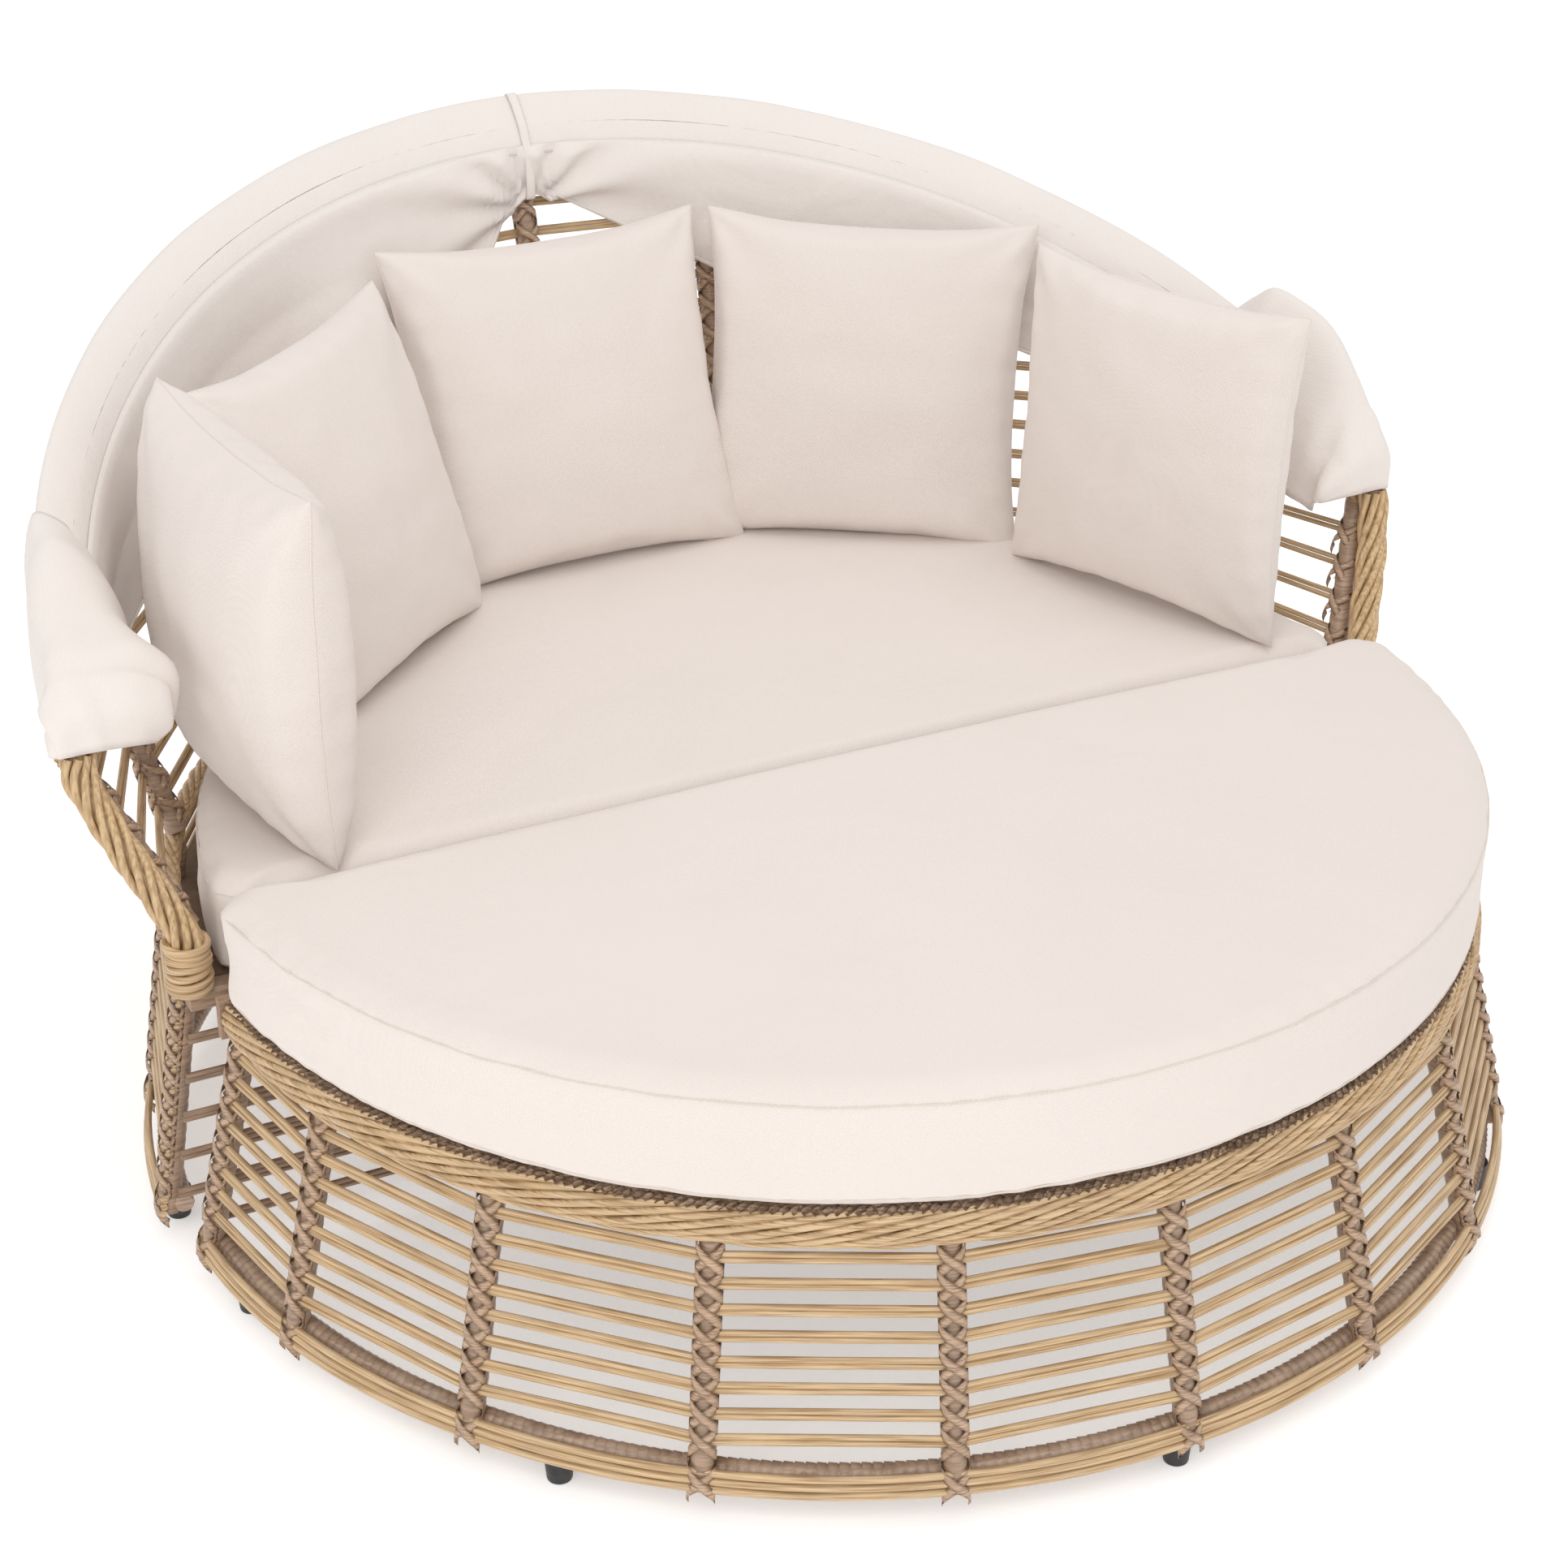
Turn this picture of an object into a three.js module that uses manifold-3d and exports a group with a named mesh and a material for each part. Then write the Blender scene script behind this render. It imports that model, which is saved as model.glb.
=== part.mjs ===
// Round outdoor daybed: a half-disc ottoman, a half-disc sofa with a flared woven back,
// and a canopy of four bows that is folded back onto the sofa's rim.
// Millimetres, +Z up, -Y towards the ottoman. The pieces are drawn round the middle of the
// sofa's seat, and the whole group is then moved to put the origin under the daybed's middle.
import * as THREE from 'three';
import Module from 'manifold-3d';

const wasm = await Module();
wasm.setup();

// Clearance that touching pieces keep
const seatGap = 0.3;

// Woven walls: reed rows on upright posts
const wallThickness = 14;
const postWidth = 30;
const reedHeight = 13;
const reedPitch = 27.5;
const firstReedRise = 51;
const flatReedPitch = 50;
const flatFirstRise = 26;
const backFirstRise = 22;
const backPitch = 38;
const backTopMargin = 8;

// Ottoman
const ottomanBaseRadius = 820;
const ottomanTopRadius = 760;
const ottomanCentreY = 10;
const ottomanWallTop = 300;
const ottomanRimHeight = 50;
const ottomanRimWidth = 30;
const ottomanRimOverhang = 8;
const ottomanCushionOverhang = 18;
const ottomanCushionRadius = ottomanTopRadius + ottomanCushionOverhang;
const ottomanCushionHeight = 136;
const ottomanCushionBackInset = 22;

// Sofa
const sofaBaseRadius = 840;
const sofaWaistRadius = 790;
const sofaWallTop = 380;
const waistBandHeight = 25;
const waistBandWidth = 24;
const waistBandOverhang = 2;
const sofaRailTop = 343;
const sofaRailHeight = 25;
const sofaRailDepth = 28;
const sofaCushionInset = 29;
const sofaCushionRadius = sofaWaistRadius - sofaCushionInset;
const sofaCushionHeight = 118;
const sofaCushionFrontY = 24;
const cushionCornerRadius = 24;

// Back rim: it lies in a plane that rises from the arms to the middle of the back
const rimSlope = THREE.MathUtils.degToRad(24);
const rimCentreY = 85;
const rimRadius = 862;
const rimWidth = 40;
const rimHeight = 38;
const rimPlaneY = 120;
const rimPlaneZ = 602;

// Rings and rails at the ground
const footHeight = 38;
const footTopRadius = 17;
const footBottomRadius = 13;
const footCollar = 6;
const baseTubeRadius = 12;

// Decks and arms
const deckThickness = 15;
const armPostWidth = 40;
const armPostDepth = 32;
const armPostInset = 18;

// Canopy
const hingeY = 165;
const hingeRise = 28;
const bowOutset = 4;
const bowRadius = rimRadius + bowOutset;
const bowTubeRadius = 6;
const bowSpacing = 0.6;
const bowPlateThickness = 4;
const bowPlateHeight = 11;
const bowPlateGap = 0.6;
const bowPlateReach = 32;
const bowRoundReach = 55;
const eyeRadius = 8;
const boltRadius = 4;
const boltClearance = 0.3;
const boltHeadRadius = 7.5;
const boltHeadLength = 4;
const bracketThickness = 4;
const bracketWidth = 26;
const bracketFlangeThickness = 3;
const bracketTopMargin = 11;
const clothThickness = 2;
const goreFoldDepth = 22;
const goreEdgeRise = 1.6;
const goreThickness = 1.2;
const sleeveRest = 2.8;
const sleeveFall = 6;
const sleeveEase = 3;
const sleeveShoulder = 16;
const hingeCover = 14;
const sleeveOuterDrop = 46;
const sleeveInnerWidth = 50;
const drapeDepthBack = 205;
const drapeDepthArm = 96;
const drapeFoldHeight = 7;
const drapeOffset = 20;
const strapWidth = 22;
const strapThickness = 2;
const strapDrop = 78;
const strapTuck = 20;
const strapClearance = 0.8;

// Pillows
const pillowSize = 434;
const pillowThickness = 128;
const pillowSidePull = 15;

// Where each pillow's middle is, and how far it stands below the cushion's crown, in shares of
// the seat cushion's radius and height, then which way it faces and how far it leans back
const pillowPlaces = [
  { xShare: -0.81545, yShare: 0.31414, sinkShare: 0.028, yaw: 4.6, lean: 0 },
  { xShare: -0.54581, yShare: 0.67932, sinkShare: 0.0076, yaw: -48.6, lean: 17.4 },
  { xShare: -0.0288, yShare: 0.97513, sinkShare: 0.0093, yaw: -88.6, lean: 20 },
  { xShare: 0.52487, yShare: 0.82984, sinkShare: 0.0127, yaw: -121, lean: 14 },
  { xShare: 0.77225, yShare: 0.32199, sinkShare: 0.0093, yaw: -160.7, lean: 4 },
];

// Counts
const flatRows = 5;
const backRows = 13;
const ottomanPanels = 5;
const sofaPanels = 5;
const backPanels = 5;
const bowSteps = 18;
const rimSteps = 18;
const drapeSteps = 40;
const drapeRows = 6;
const drapeFolds = 17;
const hingeStations = 2;
const skirtPoints = 3;
const ottomanBays = 10;
const sofaBays = 10;
const ottomanRows = 8;
const sofaLowerRows = 11;
const flatPanelBays = 3;
const tubeSides = 8;
const bowSides = 6;
const pillowCells = 8;
const bowCount = 4;

const { lerp } = THREE.MathUtils;
const degrees = THREE.MathUtils.degToRad;
const ottomanFirstAngle = degrees(182);
const ottomanLastAngle = degrees(358);
const ottomanEndPitch = degrees(13.95);
const sofaFirstAngle = degrees(4);
const sofaLastAngle = degrees(176);
const ottomanFootAngles = [188, 222, 270, 318, 352].map(degrees);
const sofaFootAngles = [8, 42, 90, 138, 172].map(degrees);

const sleeveStart = degrees(5.6);
const drapeStart = degrees(10);
const drapeGatherAngle = degrees(9);
const drapeGatherPower = 1.5;
const drapeSwellPower = 0.8;

const rootGroup = new THREE.Group();

function finish(color, roughness, metalness) {
  return new THREE.MeshStandardMaterial({ color, roughness, metalness });
}

const looks = {
  reed: () => finish(0xc39a62, 0.55, 0),
  braid: () => finish(0xb98d54, 0.55, 0),
  wrap: () => finish(0x8a6a4c, 0.6, 0),
  fabric: () => finish(0xece2d6, 0.9, 0),
  steel: () => finish(0x8f9194, 0.4, 0.9),
  plastic: () => finish(0x1d1c1b, 0.5, 0),
  panel: () => finish(0x7a6248, 0.7, 0),
};

function point(radius, angle, centreY, z) {
  return new THREE.Vector3(radius * Math.cos(angle), centreY + radius * Math.sin(angle), z);
}

function rimPlane(y) {
  return rimPlaneZ + Math.tan(rimSlope) * (y - rimPlaneY);
}

function signedVolume(positions, indices) {
  const a = new THREE.Vector3();
  const b = new THREE.Vector3();
  const c = new THREE.Vector3();
  let total = 0;
  for (let i = 0; i < indices.length; i += 3) {
    a.fromArray(positions, 3 * indices[i]);
    b.fromArray(positions, 3 * indices[i + 1]);
    c.fromArray(positions, 3 * indices[i + 2]);
    total += a.dot(b.cross(c)) / 6;
  }
  return total;
}

// A closed body from shared vertices and triangles, with its faces turned outwards
function bodyGeometry(positions, indices) {
  const turned = indices.slice();
  if (signedVolume(positions, indices) < 0) {
    for (let i = 0; i < turned.length; i += 3) {
      [turned[i], turned[i + 1]] = [turned[i + 1], turned[i]];
    }
  }
  const geometry = new THREE.BufferGeometry();
  geometry.setAttribute('position', new THREE.Float32BufferAttribute(positions, 3));
  geometry.setIndex(turned);
  return geometry;
}

function toManifold(geometry) {
  return new wasm.Manifold(new wasm.Mesh({
    numProp: 3,
    vertProperties: new Float32Array(geometry.attributes.position.array),
    triVerts: new Uint32Array(geometry.index.array),
  }));
}

function fromManifold(solid) {
  const mesh = solid.getMesh();
  return bodyGeometry(Array.from(mesh.vertProperties), Array.from(mesh.triVerts));
}

function addMesh(name, geometry, material) {
  const mesh = new THREE.Mesh(geometry, material);
  mesh.name = name;
  rootGroup.add(mesh);
  return mesh;
}

// A closed body through a row of convex rings with the same number of points
function loft(rings, closed = false) {
  const count = rings[0].length;
  const positions = rings.flat().flatMap((p) => [p.x, p.y, p.z]);
  const indices = [];
  const spans = closed ? rings.length : rings.length - 1;
  for (let i = 0; i < spans; i += 1) {
    const here = i * count;
    const next = ((i + 1) % rings.length) * count;
    for (let j = 0; j < count; j += 1) {
      const k = (j + 1) % count;
      indices.push(here + j, here + k, next + k);
      indices.push(here + j, next + k, next + j);
    }
  }
  if (!closed) {
    const last = (rings.length - 1) * count;
    for (let j = 1; j < count - 1; j += 1) {
      indices.push(0, j + 1, j);
      indices.push(last, last + j, last + j + 1);
    }
  }
  return bodyGeometry(positions, indices);
}

// Section points with flats on both axes, half sizes measured to the flats
function flatSection(halfWidth, halfHeight, sides) {
  const section = [];
  const stretch = 1 / Math.cos(Math.PI / sides);
  for (let i = 0; i < sides; i += 1) {
    const angle = ((i + 0.5) * 2 * Math.PI) / sides;
    section.push([halfWidth * stretch * Math.cos(angle), halfHeight * stretch * Math.sin(angle)]);
  }
  return section;
}

// A rectangle whose corners are cut by a share of its smaller side
const cornerCutShare = 0.28;
function bandSection(halfWidth, halfHeight) {
  const cut = cornerCutShare * Math.min(halfWidth, halfHeight);
  return [
    [halfWidth, cut - halfHeight], [halfWidth, halfHeight - cut],
    [halfWidth - cut, halfHeight], [cut - halfWidth, halfHeight],
    [-halfWidth, halfHeight - cut], [-halfWidth, cut - halfHeight],
    [cut - halfWidth, -halfHeight], [halfWidth - cut, -halfHeight],
  ];
}

// A band that follows an arc; height(y) gives the level of its middle
function arcBand(radius, centreY, angles, section, height) {
  return loft(angles.map((angle) => section.map(([u, v]) => {
    const p = point(radius + u, angle, centreY, 0);
    p.z = height(p.y) + v;
    return p;
  })));
}

// A body of hexahedral cells that share corners; faces between two cells are left out
class CellBody {
  constructor() {
    this.positions = [];
    this.corners = new Map();
    this.faces = new Map();
  }

  corner(key, makePoint) {
    if (!this.corners.has(key)) {
      const p = makePoint();
      this.corners.set(key, this.positions.length / 3);
      this.positions.push(p.x, p.y, p.z);
    }
    return this.corners.get(key);
  }

  // low and high are the four corners of two opposite faces, in the same order
  addCell(low, high) {
    this.addFace([low[3], low[2], low[1], low[0]]);
    this.addFace(high);
    for (let i = 0; i < 4; i += 1) {
      const j = (i + 1) % 4;
      this.addFace([low[i], low[j], high[j], high[i]]);
    }
  }

  addFace(face) {
    const key = [...face].sort((a, b) => a - b).join(' ');
    if (this.faces.has(key)) {
      this.faces.delete(key);
    } else {
      this.faces.set(key, face);
    }
  }

  geometry() {
    const indices = [];
    for (const [a, b, c, d] of this.faces.values()) {
      indices.push(a, b, c, a, c, d);
    }
    const used = new Map();
    const positions = [];
    const packed = indices.map((i) => {
      if (!used.has(i)) {
        used.set(i, used.size);
        positions.push(...this.positions.slice(3 * i, 3 * i + 3));
      }
      return used.get(i);
    });
    return bodyGeometry(positions, packed);
  }
}

// Posts and bays from one end of a wall to the other, as angles or as distances. The bay at
// each end may be narrower than the others, which share what is left
function wallColumns(first, last, bays, postSpan, endPitch = (last - first - postSpan) / bays) {
  const innerPitch = (last - first - postSpan - 2 * endPitch) / (bays - 2);
  const starts = [first];
  for (let i = 1; i < bays; i += 1) starts.push(first + endPitch + (i - 1) * innerPitch);
  starts.push(last - postSpan);
  const columns = [{ kind: 'post', a: first, b: first + postSpan }];
  for (let i = 1; i <= bays; i += 1) {
    columns.push({ kind: 'bay', a: starts[i - 1] + postSpan, b: starts[i] });
    columns.push({ kind: 'post', a: starts[i], b: starts[i] + postSpan });
  }
  return columns;
}

// The columns of one panel of a wall: the first panel also has the wall's first post
function panelColumns(columns, panel, baysPerPanel, gapSpan) {
  const start = panel === 0 ? 0 : 2 * panel * baysPerPanel + 1;
  const picked = columns.slice(start, 2 * (panel + 1) * baysPerPanel + 1).map((c) => ({ ...c }));
  if (panel > 0) {
    picked[0].a += gapSpan;
  }
  return picked;
}

function columnEdges(columns) {
  return [...new Set(columns.flatMap((c) => [c.a, c.b]))];
}

// One woven panel. place(a, z, inner) is a corner; rowsAt(a) says how many rows reach there.
// A bay has no more rows than the posts on both its sides, so that no reed hangs loose
const wallReachRadius = Math.min(ottomanTopRadius, sofaWaistRadius);
function wovenPanel(columns, rows, place, bottom, topAt, rowsAt) {
  const body = new CellBody();
  const level = (a, k, count) => {
    if (k === 0) return bottom;
    if (k > 2 * count) return topAt(a);
    const row = Math.floor((k - 1) / 2);
    return rows[row] + (k % 2 === 0 ? reedHeight : 0);
  };
  const corner = (a, k, count, inner) => {
    const key = `${a.toFixed(6)} ${k > 2 * count ? 'top' : k} ${inner}`;
    return body.corner(key, () => place(a, level(a, k, count), inner, k > 2 * count));
  };
  const addSpan = (column, k, count) => {
    const loop = (step) => [
      corner(column.a, step, count, false), corner(column.b, step, count, false),
      corner(column.b, step, count, true), corner(column.a, step, count, true),
    ];
    body.addCell(loop(k), loop(k + 1));
  };
  columns.forEach((column) => {
    const reach = column.kind === 'post' ? 0 : postWidth / wallReachRadius;
    const count = Math.min(rowsAt(column.a - reach), rowsAt(column.b + reach));
    if (column.kind === 'post') {
      for (let k = 0; k <= 2 * count; k += 1) addSpan(column, k, count);
    } else {
      for (let row = 0; row < count; row += 1) addSpan(column, 2 * row + 1, rows.length);
    }
  });
  return body.geometry();
}

// A thin closed cloth through a grid of points; its second face lies one thickness along offset
function clothSheet(grid, offsetAt) {
  const body = new CellBody();
  const corner = (i, j, back) => body.corner(`${i} ${j} ${back}`, () => {
    const p = grid[i][j].clone();
    return back ? p.add(offsetAt(i, j)) : p;
  });
  for (let i = 0; i < grid.length - 1; i += 1) {
    for (let j = 0; j < grid[i].length - 1; j += 1) {
      const face = (back) => [
        corner(i, j, back), corner(i + 1, j, back), corner(i + 1, j + 1, back), corner(i, j + 1, back),
      ];
      body.addCell(face(false), face(true));
    }
  }
  return body.geometry();
}

// Outward direction of a profile in the radius and height plane, at its point j
function profileNormal(profile, j) {
  const before = profile[Math.max(j - 1, 0)];
  const after = profile[Math.min(j + 1, profile.length - 1)];
  const along = new THREE.Vector2(after[0] - before[0], after[1] - before[1]).normalize();
  return new THREE.Vector2(along.y, -along.x);
}

// Feet, tucked under the base rings
function addFeet(prefix, radius, centreY, angles) {
  const levels = [
    [footBottomRadius, 0], [footTopRadius, footHeight - footCollar], [footTopRadius, footHeight - seatGap],
  ];
  angles.forEach((angle, i) => {
    const rings = levels.map(([r, z]) => Array.from({ length: tubeSides }, (_, k) => {
      const turn = (2 * Math.PI * k) / tubeSides;
      return point(radius, angle, centreY, z).add(point(r, turn, 0, 0));
    }));
    addMesh(`${prefix}_foot_${i + 1}`, loft(rings), looks.plastic());
  });
}

const baseZ = footHeight + baseTubeRadius;
const ringTouchZ = baseZ + baseTubeRadius * Math.tan(Math.PI / tubeSides);

// Outer radius of a straight-sided wall at a height
function wallRadius(baseRadius, topRadius, topZ, z) {
  return lerp(baseRadius, topRadius, (z - baseZ) / (topZ - baseZ));
}

// Radius inside a wall at a height, less the seating gap
function insideWall(baseRadius, topRadius, topZ, z) {
  return wallRadius(baseRadius, topRadius, topZ, z) - wallThickness - seatGap;
}

function rowLevels(count, firstRise, pitch) {
  return Array.from({ length: count }, (_, j) => footHeight + firstRise + j * pitch);
}

// A leaning half-round wall in panels
function addCurvedWall(prefix, spec, panels, columns) {
  const rows = rowLevels(spec.rows, firstReedRise, reedPitch);
  const place = (angle, z, inner) => {
    const outer = wallRadius(spec.baseRadius, spec.topRadius, spec.topZ, z);
    return point(inner ? outer - wallThickness : outer, angle, spec.centreY, z);
  };
  for (let i = 0; i < panels; i += 1) {
    const picked = panelColumns(columns, i, spec.bays / panels, seatGap / spec.topRadius);
    const top = spec.topZ - seatGap;
    const geometry = wovenPanel(picked, rows, place, footHeight, () => top, () => spec.rows);
    addMesh(`${prefix}_${i + 1}`, geometry, looks.reed());
  }
}

// A flat woven panel that closes a half disc, seen from the straight side
function addFlatWall(name, spec) {
  const rows = rowLevels(flatRows, flatFirstRise, flatReedPitch);
  const place = (share, z, inner) => {
    const half = wallRadius(spec.baseRadius, spec.topRadius, spec.topZ, z) * Math.cos(spec.endAngle);
    return new THREE.Vector3(share * half, inner ? spec.backY : spec.frontY, z);
  };
  const columns = wallColumns(-1, 1, flatPanelBays, postWidth / spec.topRadius);
  const top = spec.railBottom - seatGap;
  const geometry = wovenPanel(columns, rows, place, footHeight, () => top, () => flatRows);
  addMesh(name, geometry, looks.reed());
}

// A convex plate in the plan of a half disc
function addDeck(name, radius, centreY, angles, straightY, top) {
  const arc = angles.map((angle) => point(radius, angle, centreY, 0));
  const side = Math.sign(arc[0].x);
  const half = Math.abs(arc[0].x);
  const outline = [
    ...arc,
    new THREE.Vector3(-side * half, straightY, 0),
    new THREE.Vector3(side * half, straightY, 0),
  ];
  const level = (z) => outline.map((p) => new THREE.Vector3(p.x, p.y, z));
  addMesh(name, loft([level(top - deckThickness), level(top)]), looks.panel());
}

// Cushion levels from the underside to the crown: plan share, height share
const cushionProfileShares = [
  [0.985, 0], [1, 0.07], [0.991, 0.5], [1, 0.93], [0.985, 1], [0.88, 1.012], [0.55, 1.02], [0.2, 1.022],
];
const cushionSideShares = [-0.972, -0.4, 0.4, 0.972];
const cushionArcSteps = 20;

// A half-disc foam cushion: crowned top, drawn-in sides, straight side at straightY
function addCushion(name, radius, centreY, straightY, side, bottom, height) {
  const lift = Math.asin((straightY - centreY) / radius);
  const cornerAngle = cushionCornerRadius / radius;
  const from = side > 0 ? lift + cornerAngle : Math.PI - lift + cornerAngle;
  const to = side > 0 ? Math.PI - lift - cornerAngle : 2 * Math.PI + lift - cornerAngle;
  const outline = [];
  for (let i = 0; i <= cushionArcSteps; i += 1) {
    outline.push(point(radius, lerp(from, to, i / cushionArcSteps), centreY, 0));
  }
  const half = radius * Math.cos(lift);
  cushionSideShares.forEach((share) => outline.push(new THREE.Vector3(side * share * half, straightY, 0)));
  const middle = new THREE.Vector3(0, centreY + (side * radius) / 2, 0);
  const rings = cushionProfileShares.map(([planShare, heightShare]) => outline.map((p) => {
    const q = p.clone().lerp(middle, 1 - planShare);
    q.z = bottom + heightShare * height;
    return q;
  }));
  addMesh(name, loft(rings), looks.fabric());
}

// A stuffed square pillow with a thin seam all round, leaning back against the wall
const pillowFullnessPower = 0.5;
function addPillow(name, place) {
  const yaw = degrees(place.yaw);
  const lean = degrees(place.lean);
  const level = new THREE.Vector3(Math.cos(yaw), Math.sin(yaw), 0);
  const across = new THREE.Vector3(-Math.sin(yaw), Math.cos(yaw), 0);
  const up = new THREE.Vector3(0, 0, Math.cos(lean)).addScaledVector(level, -Math.sin(lean));
  const out = level.clone().multiplyScalar(Math.cos(lean)).add(new THREE.Vector3(0, 0, Math.sin(lean)));
  const seatZ = sofaRailTop + 2 * seatGap + sofaCushionHeight * cushionProfileShares.at(-1)[1];
  const middleZ = seatZ - place.sinkShare * sofaCushionHeight + (pillowSize / 2) * Math.cos(lean);
  const middleX = place.xShare * sofaCushionRadius;
  const centre = new THREE.Vector3(middleX, place.yShare * sofaCushionRadius, middleZ);
  const body = new Map();
  const positions = [];
  const corner = (i, j, face) => {
    const rim = i === 0 || j === 0 || i === pillowCells || j === pillowCells;
    const key = `${i} ${j} ${rim ? 0 : face}`;
    if (!body.has(key)) {
      const u = Math.sin((Math.PI * (i / pillowCells - 0.5)));
      const v = Math.sin((Math.PI * (j / pillowCells - 0.5)));
      const swell = ((1 - u * u) * (1 - v * v)) ** pillowFullnessPower;
      const p = centre.clone()
        .addScaledVector(across, u * (pillowSize / 2 - pillowSidePull * (1 - v * v)))
        .addScaledVector(up, v * (pillowSize / 2 - pillowSidePull * (1 - u * u)))
        .addScaledVector(out, rim ? 0 : (face * swell * pillowThickness) / 2);
      body.set(key, positions.length / 3);
      positions.push(p.x, p.y, p.z);
    }
    return body.get(key);
  };
  const indices = [];
  [1, -1].forEach((face) => {
    for (let i = 0; i < pillowCells; i += 1) {
      for (let j = 0; j < pillowCells; j += 1) {
        const places = [[i, j], [i + 1, j], [i + 1, j + 1], [i, j + 1]];
        const q = places.map(([a, b]) => corner(a, b, face));
        if (face < 0) q.reverse();
        // The diagonal runs from the middle outwards, so that no corner triangle is flat
        if ((i < pillowCells / 2) === (j < pillowCells / 2)) {
          indices.push(q[0], q[1], q[2], q[0], q[2], q[3]);
        } else {
          indices.push(q[1], q[2], q[3], q[1], q[3], q[0]);
        }
      }
    }
  });
  addMesh(name, bodyGeometry(positions, indices), looks.fabric());
}

// Evenly spaced values from a to b, both included
function steps(a, b, count) {
  return Array.from({ length: count + 1 }, (_, i) => lerp(a, b, i / count));
}

// The ottoman: ring, walls, rim, deck, cushion and feet
function buildOttoman() {
  const spec = {
    baseRadius: ottomanBaseRadius, topRadius: ottomanTopRadius, topZ: ottomanWallTop,
    centreY: ottomanCentreY, bays: ottomanBays, rows: ottomanRows,
  };
  const postSpan = postWidth / ottomanBaseRadius;
  const columns = wallColumns(ottomanFirstAngle, ottomanLastAngle, ottomanBays, postSpan, ottomanEndPitch);
  const edges = columnEdges(columns);
  const ringRadius = insideWall(spec.baseRadius, spec.topRadius, spec.topZ, ringTouchZ) - baseTubeRadius;
  const tube = flatSection(baseTubeRadius, baseTubeRadius, tubeSides);
  addMesh('ottoman_base_ring', arcBand(ringRadius, spec.centreY, edges, tube, () => baseZ), looks.wrap());
  addCurvedWall('ottoman_wall', spec, ottomanPanels, columns);
  const endDrop = Math.sin(ottomanFirstAngle);
  const wallEndY = spec.centreY + (spec.topRadius - wallThickness) * endDrop;
  const frontY = wallEndY + seatGap;
  addFlatWall('ottoman_back_wall', {
    ...spec, endAngle: ottomanLastAngle, frontY: frontY + wallThickness, backY: frontY,
    railBottom: ottomanWallTop,
  });
  const rimOuter = spec.topRadius + ottomanRimOverhang;
  const rimMiddle = rimOuter - ottomanRimWidth / 2;
  const rimSection = bandSection(ottomanRimWidth / 2, ottomanRimHeight / 2);
  const rimMiddleZ = ottomanWallTop + ottomanRimHeight / 2;
  const rimBody = arcBand(rimMiddle, spec.centreY, edges, rimSection, () => rimMiddleZ);
  addMesh('ottoman_rim', rimBody, looks.braid());
  const railBack = spec.centreY + (rimOuter - ottomanRimWidth) * endDrop + seatGap;
  const railHalf = rimOuter * Math.cos(ottomanLastAngle);
  const rail = bandSection(wallThickness / 2, ottomanRimHeight / 2);
  const railY = railBack + wallThickness / 2;
  const railRing = (x) => rail.map(([u, v]) => new THREE.Vector3(x, railY + u, rimMiddleZ + v));
  addMesh('ottoman_back_rail', loft([railRing(-railHalf), railRing(railHalf)]), looks.wrap());
  const top = ottomanWallTop + ottomanRimHeight;
  const deckRadius = rimOuter - ottomanRimWidth - seatGap;
  addDeck('ottoman_deck', deckRadius, spec.centreY, edges, railBack - seatGap, top);
  addCushion('ottoman_cushion', ottomanCushionRadius, spec.centreY, spec.centreY - ottomanCushionBackInset,
    -1, top + seatGap, ottomanCushionHeight);
  addFeet('ottoman', ringRadius, spec.centreY, ottomanFootAngles);
}

const sofaSpec = {
  baseRadius: sofaBaseRadius, topRadius: sofaWaistRadius, topZ: sofaWallTop,
  centreY: 0, bays: sofaBays, rows: sofaLowerRows,
};
const sofaColumns = wallColumns(sofaFirstAngle, sofaLastAngle, sofaBays, postWidth / sofaBaseRadius);
const backBottom = sofaWallTop + waistBandHeight + seatGap;
const waistMiddle = sofaWaistRadius + waistBandOverhang - waistBandWidth / 2;
const backFootRadius = waistMiddle + wallThickness / 2;
const backHeadRadius = rimRadius + wallThickness / 2;

// A corner of the flared back wall; at the top it follows the rim's underside
function backPlace(angle, z, inner, atTop) {
  const step = inner ? wallThickness : 0;
  const foot = point(backFootRadius - step, angle, 0, backBottom);
  const head = point(backHeadRadius - step, angle, rimCentreY, 0);
  head.z = rimPlane(head.y) - rimHeight - seatGap;
  if (atTop) return head;
  const share = (z - backBottom) / (backTop(angle) - backBottom);
  return new THREE.Vector3(lerp(foot.x, head.x, share), lerp(foot.y, head.y, share), z);
}

function backTop(angle) {
  return rimPlane(rimCentreY + backHeadRadius * Math.sin(angle)) - rimHeight - seatGap;
}

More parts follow.
